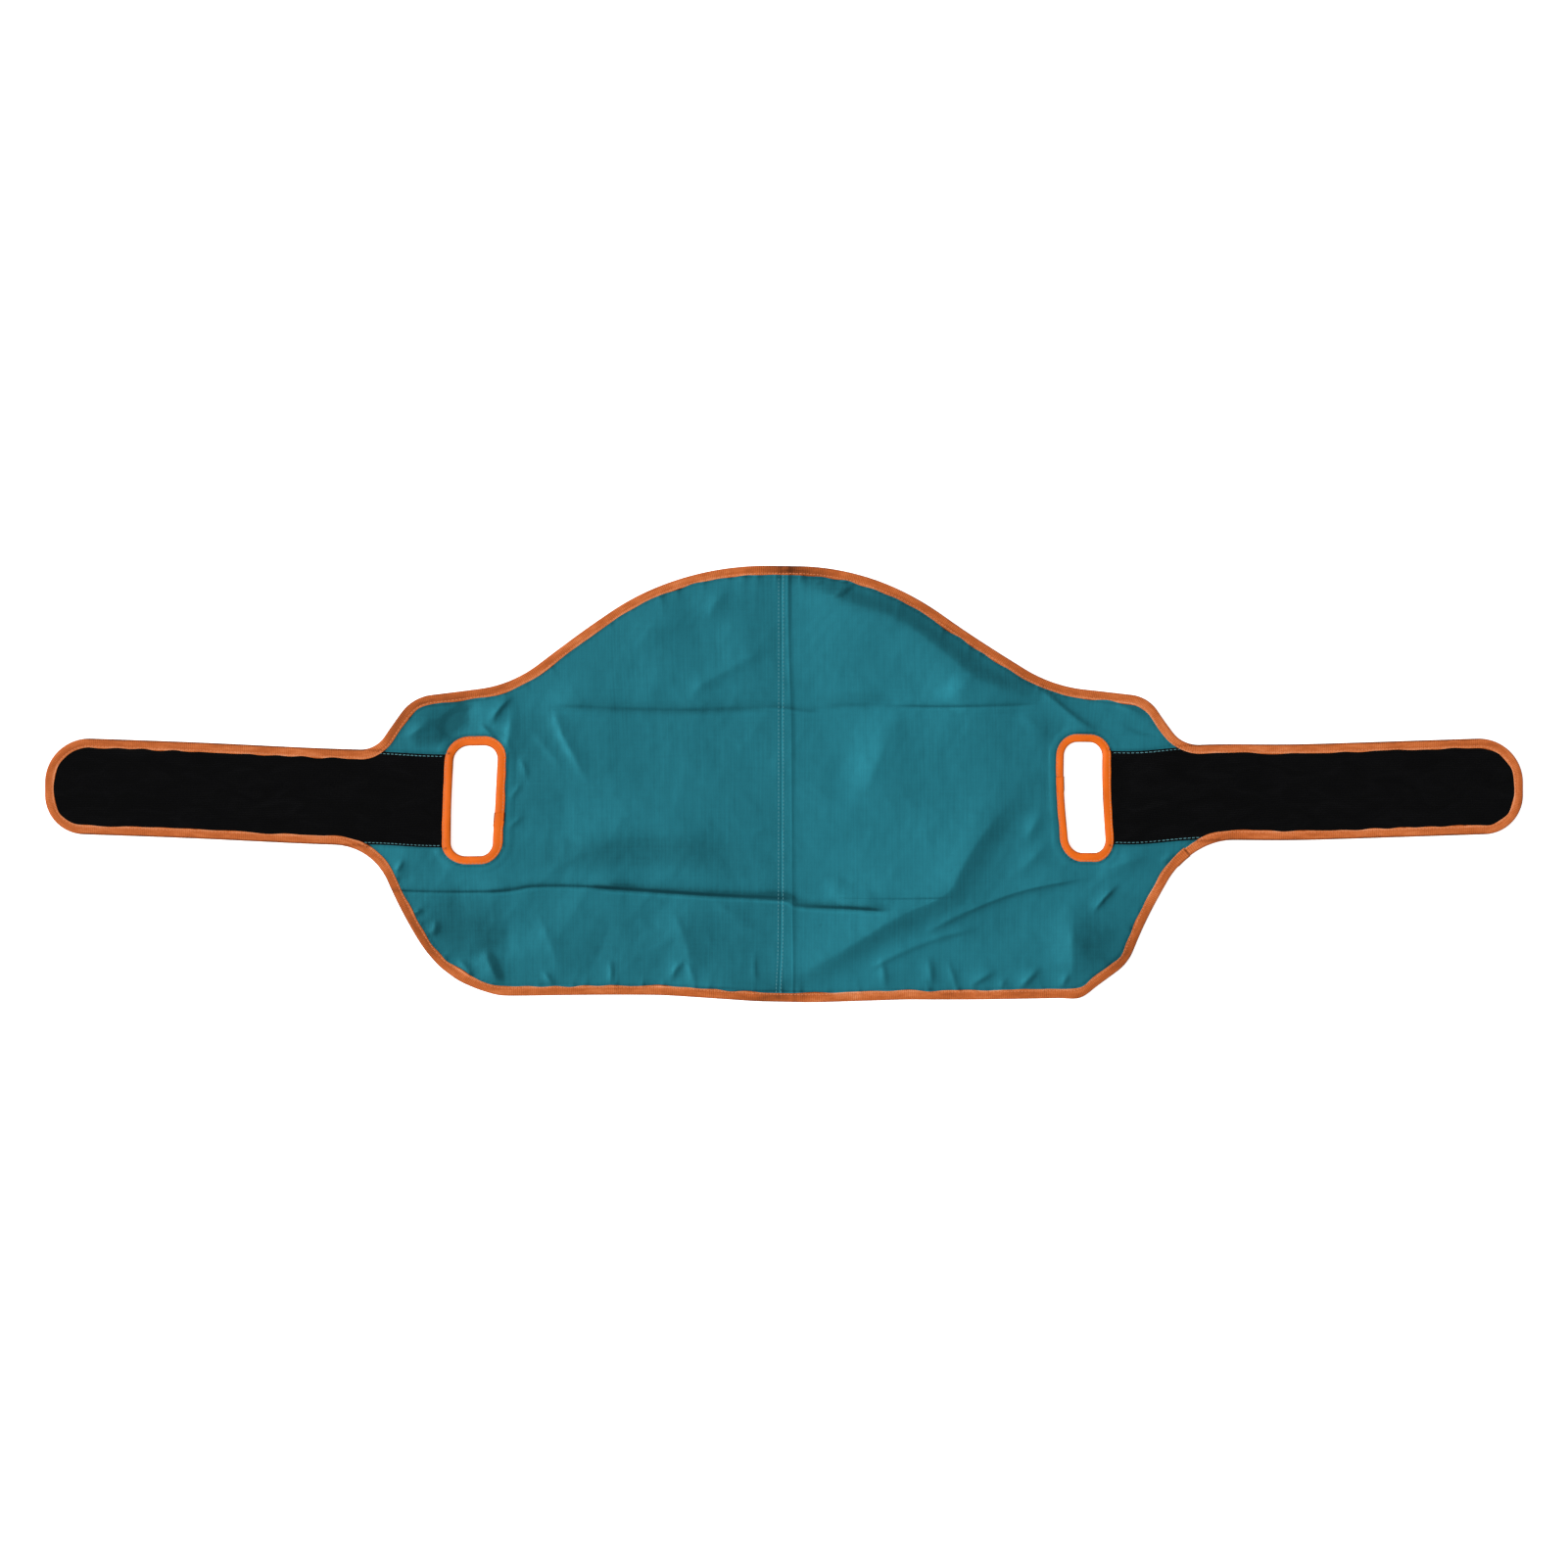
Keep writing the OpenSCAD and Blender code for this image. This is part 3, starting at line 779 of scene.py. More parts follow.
def grid_lines(low, high, pitch, fine_bands=(), fine_pitch=FINE_PITCH_Y):
    """Positions from low to high, pitch apart, and closer together in the fine bands."""
    lines, at = [], low
    while at < high + pitch:
        lines.append(at)
        fine = any(a <= at <= b for a, b in fine_bands)
        at += min(fine_pitch, pitch) if fine else pitch
    return np.array(lines)


def drawn_to_edge(x, y, inside, most):
    """Moves points onto the line where inside() is 0, by no more than most."""
    probe, least_slope = 0.15, 0.5
    for _ in range(3):
        value = inside(x, y)
        gx = (inside(x + probe, y) - inside(x - probe, y)) / (2 * probe)
        gy = (inside(x, y + probe) - inside(x, y - probe)) / (2 * probe)
        size = np.maximum(gx**2 + gy**2, least_slope**2)
        step = np.clip(-value, -most, most)
        x, y = x + step * gx / size, y + step * gy / size
    return x, y


def cloth_grid(inside, xs, ys, z, valleys, downwards=False, skirt=None):
    """Cloth over the grid cells whose middles are inside, with its edge drawn to the true line.
    A skirt is a band from the edge down to that height."""
    gx, gy = np.meshgrid(xs, ys)
    middle_x = (gx[:-1, :-1] + gx[1:, 1:]) / 2
    middle_y = (gy[:-1, :-1] + gy[1:, 1:]) / 2
    row, col = np.nonzero(inside(middle_x, middle_y) > 0)
    width = len(xs)
    first = row * width + col
    faces = np.stack((first, first + 1, first + 1 + width, first + width), 1)
    used, faces = np.unique(faces, return_inverse=True)
    faces = faces.reshape(-1, 4)
    x, y = gx.ravel()[used], gy.ravel()[used]

    edges = np.concatenate([faces[:, [i, (i + 1) % 4]] for i in range(4)])
    key = np.sort(edges, 1)
    _, index, count = np.unique(key, axis=0, return_index=True, return_counts=True)
    rim = edges[index[count == 1]]
    rim_points = np.unique(rim)
    most = max(np.diff(xs).max(), np.diff(ys).max())
    x[rim_points], y[rim_points] = drawn_to_edge(x[rim_points], y[rim_points], inside, most)

    uv = np.stack((x, y), 1) * MM
    if downwards:
        faces = faces[:, ::-1]
    part = Flat(x, y, z, valleys, faces, uv)
    if skirt is None:
        return part
    below = np.full(len(x), -1)
    below[rim_points] = np.arange(len(rim_points)) + len(x)
    band = np.stack((rim[:, 1], rim[:, 0], below[rim[:, 0]], below[rim[:, 1]]), 1)
    z = np.r_[part.z, np.full(len(rim_points), skirt)]
    x, y, valleys = (np.r_[v, v[rim_points]] for v in (x, y, part.valleys))
    return Flat(x, y, z, valleys, np.vstack((faces, band)), np.vstack((uv, uv[rim_points])))


def tape_top(x, y):
    """Height of a tape's front face, on the shell or on the strip on top of it."""
    return SHELL_Z + STRIP_T * strip_cover(x, y) + TAPE_T


# Cross-section of a folded tape: distance in from the fold, share of the way from the back
# face up to the front face, and height above that. It runs over the front, round the fold,
# along the back, and home through the inside.
TAPE_SECTION = [
    (8.0, 1, -0.42), (8.0, 1, -0.12), (7.75, 1, 0.0), (6.9, 1, 0.02), (6.5, 1, -0.04),
    (6.1, 1, 0.04), (5.0, 1, 0.22), (3.4, 1, 0.30), (1.9, 1, 0.22), (1.0, 1, 0.06),
    (0.45, 0.93, 0), (0.12, 0.76, 0), (0.0, 0.5, 0), (0.12, 0.24, 0), (0.45, 0.07, 0),
    (1.0, 0, 0.0), (4.0, 0, 0.0), (6.5, 0, 0.04), (7.75, 0, 0.0), (8.0, 0, 0.12),
    (8.0, 0, 0.42), (1.0, 0, 0.45), (1.0, 1, -0.47),
]
# Thickness that a tape goes round, in its UV map
TAPE_STACK = 2.2
# Where a tape's ends meet, one lies on the other: length, length of the way up, height, how much
# wider and further out the upper one is
OVERLAP, OVERLAP_RAMP, OVERLAP_RISE, OVERLAP_WIDER, OVERLAP_OUT = 11, 3, 0.30, 0.2, 0.5
# On the back, the upper end is this much lower
OVERLAP_BACK = 0.03
# Waves in a tape's width: how many, the shortest and the longest
WAVER_WAVES = (12, 14, 70)


def folded_tape(path, start, step=1.4, width=TAPE_W, waver=0.35, seed=5, first_on_top=False):
    """A tape folded over the edge that path follows, with its ends lapped at start."""
    count = int((path.length + OVERLAP) / step)
    s = start + np.linspace(0, path.length + OVERLAP, count)
    px, py = path.point(s)
    nx, ny = path.normal(s)
    section = np.array(TAPE_SECTION)
    rows, cols = len(s), len(section)
    d = np.broadcast_to(section[:, 0] * width / TAPE_W, (rows, cols)).copy()
    share = np.broadcast_to(section[:, 1], (rows, cols))
    lift = np.broadcast_to(section[:, 2], (rows, cols)).copy()

    # one end lies on the other, a little further out, and the flap's width wavers
    run = s[-1] - s if first_on_top else s - start
    over = smoothstep(run, path.length - OVERLAP_RAMP, path.length)[:, None]
    lift += over * (OVERLAP_RISE * share - OVERLAP_BACK)
    flap = smoothstep(d, 0.5 * width, width)
    wavering = waves(s, 0 * s, seed, *WAVER_WAVES)[:, None]
    d += flap * (waver * wavering + OVERLAP_WIDER * over) - OVERLAP_OUT * over * (1 - flap)

    x, y = px[:, None] + nx[:, None] * d, py[:, None] + ny[:, None] * d
    z = share * tape_top(x, y) + lift
    sides = np.diff(section[:, :2] * (1, TAPE_STACK), axis=0)
    around = np.r_[0, np.cumsum(np.hypot(*sides.T))]
    uv = np.stack(np.broadcast_arrays(s[:, None], around[None, :]), -1) * MM

    index = np.arange(rows * cols).reshape(rows, cols)
    after = np.roll(index, -1, axis=1)
    faces = np.stack((index[:-1], index[1:], after[1:], after[:-1]), -1).reshape(-1, 4)
    caps = []
    for end, flip in ((index[0], False), (index[-1], True)):
        for i in range(cols // 2 - 1):
            quad = [end[i], end[i + 1], end[cols - 2 - i], end[cols - 1 - i]]
            caps.append(quad[::-1] if flip else quad)
    faces = np.vstack((faces, caps))
    return Flat(x.ravel(), y.ravel(), z.ravel(), share.ravel(), faces, uv.reshape(-1, 2))


# One stitch as a low dome, in unit sizes. Rows: place along it, half width and height there
STITCH_ROWS = np.array([
    (-0.5, 0.2, 0.0), (-0.36, 0.45, 0.7), (0.0, 0.5, 1.0), (0.36, 0.45, 0.7), (0.5, 0.2, 0.0)
])
# Columns: place across it, and share of the row's height
STITCH_COLUMNS = np.array([(-1.0, 0.3), (0.0, 1.0), (1.0, 0.3)])
# How far its foot is sunk into the cloth, and how far stitches stray from the line, in radians
STITCH_SINK, STITCH_STRAY = 0.12, 0.05


def stitch_row(x, y, level, pitch, length, width, height, valleys=1.0, seed=3):
    """Stitches along a line of flat points. A negative height hangs them under the level."""
    run = np.r_[0, np.cumsum(np.hypot(np.diff(x), np.diff(y)))]
    count = max(1, int(run[-1] / pitch))
    at = ((np.arange(count) + 0.5) * run[-1] / count)[:, None, None]
    tx = np.interp(at + 0.5, run, x) - np.interp(at - 0.5, run, x)
    ty = np.interp(at + 0.5, run, y) - np.interp(at - 0.5, run, y)
    stray = np.random.default_rng(seed).normal(0, STITCH_STRAY, count)
    angle = np.arctan2(ty, tx) + stray[:, None, None]
    cos, sin = np.cos(angle), np.sin(angle)

    place, half, dome = STITCH_ROWS.T[:, :, None]
    columns, shoulder = STITCH_COLUMNS.T
    across = half * width * columns
    along = np.broadcast_to(place * length, across.shape)
    sx = np.interp(at, run, x) + along * cos - across * sin
    sy = np.interp(at, run, y) + along * sin + across * cos
    sink = math.copysign(STITCH_SINK, height)
    base = level(sx, sy) if callable(level) else level
    sz = base + dome * shoulder * height - sink + 0 * sx

    index = np.arange(sx.size).reshape(sx.shape)
    low, high = index[:, :-1], index[:, 1:]
    quads = np.stack((low[..., :-1], high[..., :-1], high[..., 1:], low[..., 1:]), -1)
    faces = quads.reshape(-1, 4)
    if height < 0:
        faces = faces[:, ::-1]
    uv = np.stack(np.broadcast_arrays(at + along, across), -1).reshape(-1, 2) * MM
    return Flat(sx.ravel(), sy.ravel(), sz.ravel(), valleys, faces, uv)


# ---- Pieces: cut at the middle of each stretch, one for each fold ----

# Half the length of cloth meant for a fold's bend; each fold keeps it as its reach
BEND_REACH = {"centre": 5, "back": 30, "side": 18, "root": 28, "arm": 12}


class Fold:
    """A fold of the belt: a hinge of the CAD part, and the bodies at lower and higher x."""

    def __init__(self, joint):
        self.name = joint["name"]
        self.x = joint["pos_m"][0] / MM
        parent_first = joint["axis"][1] < 0 or self.name == "centre_fold"
        bodies = (joint["parent"], joint["child"])
        self.low, self.high = bodies if parent_first else bodies[::-1]
        self.reach = BEND_REACH[self.name.split("_")[0]]
        self.stands_for = list(bodies) if self.name == "centre_fold" else [joint["child"]]


folds = sorted((Fold(j) for j in frame["record"]["behaviour"]["joints"]), key=lambda f: f.x)
cuts = [(a.x + b.x) / 2 for a, b in zip(folds, folds[1:])]


def vertex_normals(points, faces):
    a, b, c, d = (points[faces[:, i]] for i in range(4))
    face = np.cross(c - a, d - b)
    normals = np.zeros_like(points)
    for i in range(4):
        np.add.at(normals, faces[:, i], face)
    size = np.linalg.norm(normals, axis=1, keepdims=True)
    return normals / np.maximum(size, 1e-12)


def settled_part(flat):
    """Points, painted shade and normals of a flat part, once it lies on the table."""
    points, soil = settle(flat.x, flat.y, flat.z, flat.valleys)
    return points, soil, vertex_normals(points, flat.faces)


def make_piece(name, settled, faces, uv, material):
    points, soil, normals = settled
    used, faces = np.unique(faces, return_inverse=True)
    faces = faces.reshape(-1, 4)
    mesh = bpy.data.meshes.new(name)
    mesh.from_pydata(points[used].tolist(), [], faces.tolist())
    mesh.polygons.foreach_set("use_smooth", np.ones(len(faces), bool))
    layer = mesh.uv_layers.new(name="flat")
    layer.data.foreach_set("uv", uv[used][faces.ravel()].astype(np.float32).ravel())
    # The mesh carries its painted shade, and its painted light below 0, to the materials
    shade_layer = mesh.attributes.new("soil", "FLOAT", "POINT")
    shade_layer.data.foreach_set("value", soil[used].astype(np.float32))
    mesh.materials.append(material)
    mesh.normals_split_custom_set_from_vertices(normals[used].tolist())
    piece = new_object(name, mesh)
    return piece


def folding_pieces(part, flat, material):
    """Cuts a flat part between the folds, into one piece for each fold.
    Returns {fold name: (piece, flat size, flat area)}."""
    settled = settled_part(flat)
    middle = flat.x[flat.faces].mean(1)
    made = {}
    for fold, low, high in zip(folds, [-FAR] + cuts, cuts + [FAR]):
        faces = flat.faces[(middle >= low) & (middle < high)]
        if not len(faces):
            continue
        piece = make_piece(f"{part}_{fold.name}", settled, faces, flat.uv, material)
        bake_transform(piece)
        corners = np.stack((flat.x[faces], flat.y[faces]), -1) * MM
        (ax, ay), (bx, by) = (corners[:, 2] - corners[:, 0]).T, (corners[:, 3] - corners[:, 1]).T
        size = corners.max((0, 1)) - corners.min((0, 1))
        made[fold.name] = (piece, tuple(size), np.abs(ax * by - ay * bx).sum() / 2)
    return made


def riding_piece(name, flat, material, body):
    """A flat part that lies on one body only."""
    piece = make_piece(name, settled_part(flat), flat.faces, flat.uv, material)
    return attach(piece, body)


# ---- Materials ----

# A Wave texture's scale that gives one crest in each unit of its vector
WAVE_UNIT = 2 * math.pi / 20


class Paint:
    """A material that is built up from short calls. Everything is drawn in the flat UV map, in
    metres of cloth, so that it stays on the cloth when the belt bends."""

    def __init__(self, name, **shader):
        self.material = bpy.data.materials.new(name)
        self.material.use_nodes = True
        self.tree = self.material.node_tree
        self.shader = self.tree.nodes["Principled BSDF"]
        for socket, value in shader.items():
            self.shader.inputs[socket.replace("_", " ")].default_value = value
        uv = self.tree.nodes.new("ShaderNodeUVMap")
        uv.uv_map = "flat"
        self.uv = uv.outputs["UV"]

    def node(self, kind, inputs, **settings):
        node = self.tree.nodes.new(kind)
        for name, value in settings.items():
            setattr(node, name, value)
        for key, value in inputs.items():
            if isinstance(value, bpy.types.NodeSocket):
                self.tree.links.new(value, node.inputs[key])
            else:
                node.inputs[key].default_value = value
        return node

    def scaled(self, pitch_x, pitch_y):
        """The flat map, measured in steps of the two pitches, in millimetres."""
        steps = (1 / (pitch_x * MM), 1 / (pitch_y * MM), 1)
        return self.node("ShaderNodeMapping", {0: self.uv, "Scale": steps}).outputs[0]

    def noise(self, pitch_x, pitch_y, detail=3, roughness=0.6, distortion=0.0):
        vector = self.scaled(pitch_x, pitch_y)
        inputs = {"Vector": vector, "Scale": 1.0, "Detail": detail, "Roughness": roughness}
        inputs["Distortion"] = distortion
        return self.node("ShaderNodeTexNoise", inputs, noise_dimensions="2D").outputs["Fac"]

    def wave(self, pitch, across=False, distortion=0.0, detail_scale=1.0):
        """0 to 1, one crest each pitch, along x or across it."""
        vector = self.scaled(pitch, pitch)
        inputs = {"Vector": vector, "Scale": WAVE_UNIT, "Distortion": distortion}
        inputs["Detail Scale"] = detail_scale
        bands = {"wave_type": "BANDS", "bands_direction": "Y" if across else "X"}
        return self.node("ShaderNodeTexWave", inputs, **bands).outputs["Fac"]

    def math(self, operation, a, b=0.0, c=0.0):
        return self.node("ShaderNodeMath", {0: a, 1: b, 2: c}, operation=operation).outputs[0]

    def remap(self, value, low, high, to_low, to_high):
        inputs = {"Value": value, 1: low, 2: high, 3: to_low, 4: to_high}
        return self.node("ShaderNodeMapRange", inputs, clamp=True).outputs[0]

    def total(self, *terms):
        """Sum of (socket, weight) pairs."""
        result = None
        for socket, weight in terms:
            part = self.math("MULTIPLY", socket, weight)
            result = part if result is None else self.math("ADD", result, part)
        return result

    def ramp(self, value, *stops):
        """Colour by value: stops are (place, (r, g, b)) in linear light."""
        node = self.node("ShaderNodeValToRGB", {"Fac": value})
        elements = node.color_ramp.elements
        while len(elements) < len(stops):
            elements.new(0.5)
        for element, (place, colour) in zip(elements, stops):
            element.position, element.color = place, (*colour, 1)
        return node.outputs["Color"]

    def right_of(self, x):
        """1 on the cloth to the right of x, in millimetres, and 0 to its left."""
        u = self.node("ShaderNodeSeparateXYZ", {0: self.uv}).outputs["X"]
        return self.math("GREATER_THAN", u, x * MM)

    def less_soil(self, tone, weight):
        """The tone, lowered by the painted shade in the mesh, and raised where the mesh has painted
        light (below 0).
        """
        soil = self.node("ShaderNodeAttribute", {}, attribute_name="soil").outputs["Fac"]
        return self.math("SUBTRACT", tone, self.math("MULTIPLY", soil, weight))

    def colour(self, tone, *stops):
        self.tree.links.new(self.ramp(tone, *stops), self.shader.inputs["Base Color"])

    def roughness(self, *mapping):
        self.tree.links.new(self.remap(*mapping), self.shader.inputs["Roughness"])

    def bump(self, *heights):
        """Bumps from (socket, depth in mm) pairs."""
        normal = None
        for socket, depth in heights:
            inputs = {"Height": socket, "Distance": depth * MM, "Strength": 1.0}
            if normal is not None:
                inputs["Normal"] = normal
            normal = self.node("ShaderNodeBump", inputs).outputs["Normal"]
        self.tree.links.new(normal, self.shader.inputs["Normal"])


def shaded(rgb, share):
    return tuple(channel * share for channel in rgb)


# Colours in linear light
TEAL = (0.0080, 0.082, 0.106)
LINING_TEAL = (0.0080, 0.077, 0.098)
# The right half's cloth is a little paler than the left half's
RIGHT_PALER = 0.135
GLOSS_TINT = (0.10, 0.80, 1.0, 1)
EDGE_ORANGE = (0.450, 0.104, 0.022)
PALE_EDGE = (0.560, 0.165, 0.052)
RUBBED_EDGE = (0.720, 0.330, 0.190)
SLOT_ORANGE = (0.680, 0.118, 0.004)
PALE_SLOT = (0.740, 0.150, 0.012)
RUBBED_SLOT = (0.780, 0.280, 0.120)
STRIP_BLACK = (0.0022, 0.0022, 0.0024)
HOOK_BLACK, RUBBED_HOOK = (0.004, 0.004, 0.0045), (0.020, 0.020, 0.022)
THREAD_SALMON = (0.74, 0.24, 0.10)
THREAD_TEAL = (0.13, 0.34, 0.38)


def coated_cloth(name, teal, roughness):
    """Plain-woven cloth with a thin coating: fine weave, slubs along the warp, tinted gloss."""
    paint = Paint(name, Specular_IOR_Level=1.0, Specular_Tint=GLOSS_TINT)
    warp, weft = paint.wave(0.72), paint.wave(0.72, across=True)
    weave = paint.math("MULTIPLY", warp, weft)
    slubs = paint.noise(1.6, 70, roughness=0.65)
    picks = paint.noise(45, 1.9, detail=2)
    blotches = paint.noise(120, 90, roughness=0.55, distortion=0.4)
    mottle = paint.noise(14, 18, detail=4)
    grain = paint.noise(2.2, 2.6, roughness=0.7)
    tone = paint.total(
        (slubs, 0.38), (picks, 0.12), (blotches, 0.16), (mottle, 0.16), (grain, 0.12), (weave, 0.06)
    )
    paler = paint.math("MULTIPLY", paint.right_of(SEAM_FOLD_X), RIGHT_PALER)
    # painted shade and painted light from the mesh darken and lighten the cloth's tone
    tone = paint.less_soil(paint.math("ADD", tone, paler), 0.34)
    shades = ((0.02, 0.30), (0.34, 0.78), (0.50, 1), (0.70, 1.24), (1.00, 1.60))
    paint.colour(tone, *((place, shaded(teal, share)) for place, share in shades))
    paint.roughness(mottle, 0.3, 0.7, roughness - 0.05, roughness + 0.07)
    paint.bump((slubs, 0.05), (mottle, 0.10), (weave, 0.05))
    return paint.material


def edge_tape():
    """Matt ribbed binding tape, rubbed paler in places."""
    paint = Paint("edge_binding", Specular_IOR_Level=0.1)
    ribs = paint.wave(1.6, distortion=0.6, detail_scale=0.4)
    fibres = paint.noise(0.5, 3.0)
    fading = paint.noise(38, 7)
    grime = paint.noise(9, 2.2, detail=4, roughness=0.65)
    tone = paint.total((ribs, 0.12), (fibres, 0.20), (fading, 0.42), (grime, 0.26))
    # painted shade from the mesh darkens the tape
    paint.colour(
        paint.less_soil(tone, 0.3),
        (0.08, shaded(EDGE_ORANGE, 0.22)),
        (0.32, shaded(EDGE_ORANGE, 0.66)),
        (0.48, shaded(EDGE_ORANGE, 0.94)),
        (0.64, PALE_EDGE),
        (0.85, RUBBED_EDGE),
    )
    paint.roughness(fibres, 0.2, 0.8, 0.62, 0.86)
    paint.bump((ribs, 0.12), (fibres, 0.08))
    return paint.material


def slot_tape():
    """Smooth, close-woven bright tape."""
    paint = Paint("slot_binding", Specular_IOR_Level=0.15)
    threads = paint.math("MULTIPLY", paint.wave(0.6), paint.wave(0.6, across=True))
    fibres = paint.noise(8, 0.7)
    fading = paint.noise(22, 6, roughness=0.55)
    tone = paint.total((threads, 0.14), (fibres, 0.36), (fading, 0.50))
    # painted shade from the mesh darkens the tape
    paint.colour(
        paint.less_soil(tone, 0.45),
        (0.05, shaded(SLOT_ORANGE, 0.25)),
        (0.30, shaded(SLOT_ORANGE, 0.85)),
        (0.50, SLOT_ORANGE),
        (0.75, PALE_SLOT),
        (0.95, RUBBED_SLOT),
    )
    paint.roughness(fibres, 0.2, 0.8, 0.44, 0.60)
    paint.bump((threads, 0.05), (fibres, 0.05))
    return paint.material


def loop_pile():
    """Black loop fastener: a dense matt pile, brushed in patches."""
    paint = Paint("loop_strip", Specular_IOR_Level=0.04)
    loops = paint.noise(0.9, 0.9, detail=2, roughness=0.7)
    rows = paint.wave(1.5, across=True, distortion=2.5, detail_scale=1.5)
    brushed = paint.noise(30, 12, distortion=0.8)
    tone = paint.total((loops, 0.45), (rows, 0.15), (brushed, 0.40))
    shades = ((0.30, 0.45), (0.52, 1), (0.75, 2.4))
    paint.colour(tone, *((place, shaded(STRIP_BLACK, share)) for place, share in shades))
    paint.roughness(brushed, 0.3, 0.7, 0.88, 1.0)
    paint.bump((loops, 0.35), (rows, 0.12))
    return paint.material


def hook_field():
    """Black hook fastener: rows of small stiff hooks."""
    paint = Paint("hook_patch", Specular_IOR_Level=0.4)
    hooks = paint.math("MULTIPLY", paint.wave(1.6), paint.wave(1.4, across=True))
    wear_and_shade = paint.noise(18, 18)
    tone = paint.total((hooks, 0.6), (wear_and_shade, 0.4))
    paint.colour(tone, (0.2, HOOK_BLACK), (0.8, RUBBED_HOOK))
    paint.roughness(wear_and_shade, 0.3, 0.7, 0.42, 0.6)
    paint.bump((hooks, 0.5))
    return paint.material


def sewing_thread(name, rgb):
    """Twisted sewing thread."""
    paint = Paint(name, Specular_IOR_Level=0.1)
    twist = paint.wave(0.35, distortion=1.0)
    soil = paint.noise(25, 2, roughness=0.5)
    tone = paint.total((twist, 0.5), (soil, 0.5))
    paint.colour(tone, (0.25, shaded(rgb, 0.6)), (0.7, rgb))
    paint.roughness(soil, 0.3, 0.7, 0.45, 0.65)
    paint.bump((twist, 0.08))
    return paint.material


shell_paint = coated_cloth("shell_cloth", TEAL, 0.53)
lining_paint = coated_cloth("lining_cloth", LINING_TEAL, 0.56)
edge_paint, slot_paint = edge_tape(), slot_tape()
loop_paint, hook_paint = loop_pile(), hook_field()
edge_thread = sewing_thread("edge_thread", THREAD_SALMON)
panel_thread = sewing_thread("panel_thread", THREAD_TEAL)


# ---- Shell and lining ----

SHELL_PITCH, LINING_PITCH = 1.7, 3.2
# Finer grid lines across the seam and the storage creases
SEAM_BAND_X, CREASE_BANDS_Y = [(-9, 14)], [(-112, -80), (60, 72)]


def inside_cloth(x, y):
    return np.minimum(edge_place(x, y)[1], slot_distance(x, y)) - TUCK


def make_cloth(pitch, z, valleys, downwards, bands_x=(), bands_y=()):
    most_x, most_y = HALF_L + GRID_MARGIN, HALF_H + GRID_MARGIN
    xs = grid_lines(-most_x, most_x, pitch, bands_x, FINE_PITCH_X)
    ys = grid_lines(-most_y, most_y, pitch, bands_y)
    return cloth_grid(inside_cloth, xs, ys, z, valleys, downwards)


shell_flat = make_cloth(SHELL_PITCH, SHELL_Z, 1, False, SEAM_BAND_X, CREASE_BANDS_Y)
lining_flat = make_cloth(LINING_PITCH, LINING_Z, 0, True)
shell = folding_pieces("shell", shell_flat, shell_paint)
lining = folding_pieces("lining", lining_flat, lining_paint)


# ---- Edge binding ----

# Where the binding's ends are lapped, below the root of the right arm
LAP_POINT = (338, -66)

binding_flat = folded_tape(outline, outline.nearest(*LAP_POINT))
binding = folding_pieces("binding", binding_flat, edge_paint)

EDGE_STITCH = {"pitch": 3.0, "length": 2.5, "width": 0.75}
# Distance in from the fold to the row on the edge tape, and on the slot tape
EDGE_STITCH_IN, RING_STITCH_IN = 6.5, 6.3
FRONT_HEIGHT, BACK_HEIGHT, BACK_LEVEL = 0.42, -0.2, 0.1


def edge_stitches(path, inwards):
    """Rows of stitches through a folded tape, on its front and its back."""
    s = np.append(path.s, path.length)
    px, py = path.point(s)
    nx, ny = path.normal(s)
    x, y = px + nx * inwards, py + ny * inwards
    front = stitch_row(x, y, tape_top, height=FRONT_HEIGHT, **EDGE_STITCH)
    back = stitch_row(x, y, BACK_LEVEL, height=BACK_HEIGHT, valleys=0.0, **EDGE_STITCH)
    return joined([front, back])


edge_rows = edge_stitches(outline, EDGE_STITCH_IN)
edge_threads = folding_pieces("edge_stitches", edge_rows, edge_thread)


# ---- Hand slots ----

# Where each slot's tape ends are lapped, seen from the slot's middle
RING_LAP = {"left": (SLOT_W / 2, -9), "right": (-SLOT_W / 2, 6)}
RING_STEP, RING_WAVER = 1.0, 0.2


def make_ring(name, side):
    path = make_slot(side)
    lap_x, lap_y = RING_LAP[name]
    start = path.nearest(side * SLOT_X + lap_x, SLOT_Y + lap_y)
    tape = folded_tape(
        path, start, RING_STEP, RING_TAPE_W, RING_WAVER, seed=9 + side, first_on_top=side < 0
    )
    slot, body = "slot_binding", f"wing_{name}"
    ring = riding_piece(f"slot_binding_{name}_tape", tape, slot_paint, body)
    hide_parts(f"slot_binding_{name}", f"slot_patch_{name}")
    rows = edge_stitches(path, RING_STITCH_IN)
    riding_piece(f"slot_stitches_{name}", rows, edge_thread, body)


for name, side in SIDES.items():
    make_ring(name, side)


# ---- Loop strips ----

STRIP_PITCH = 2.0
# How far a strip's edge is rounded down, and over what distance
STRIP_ROUND, STRIP_ROUND_REACH = 0.35, 0.8


def inside_strip(side):
    def inside(x, y):
        across, along = inside_band(x, y, STRIP_W), side * x - STRIP_START
        return np.minimum(np.minimum(across, along), edge_place(x, y)[1] - TUCK)

    return inside


def make_strip(side):
    ends = sorted((side * (STRIP_START - END_MARGIN), side * (HALF_L + GRID_MARGIN)))
    xs = grid_lines(*ends, STRIP_PITCH)
    ys = grid_lines(*ARM_SPAN, STRIP_PITCH)
    inside = inside_strip(side)
    strip = cloth_grid(inside, xs, ys, SHELL_Z + STRIP_T, 1, skirt=SHELL_Z)
    depth = np.maximum(inside(strip.x, strip.y), 0)
    rounded = strip.z - STRIP_ROUND * np.exp(-depth / STRIP_ROUND_REACH)
    strip.z = np.where(strip.z > SHELL_Z, rounded, SHELL_Z)
    return strip


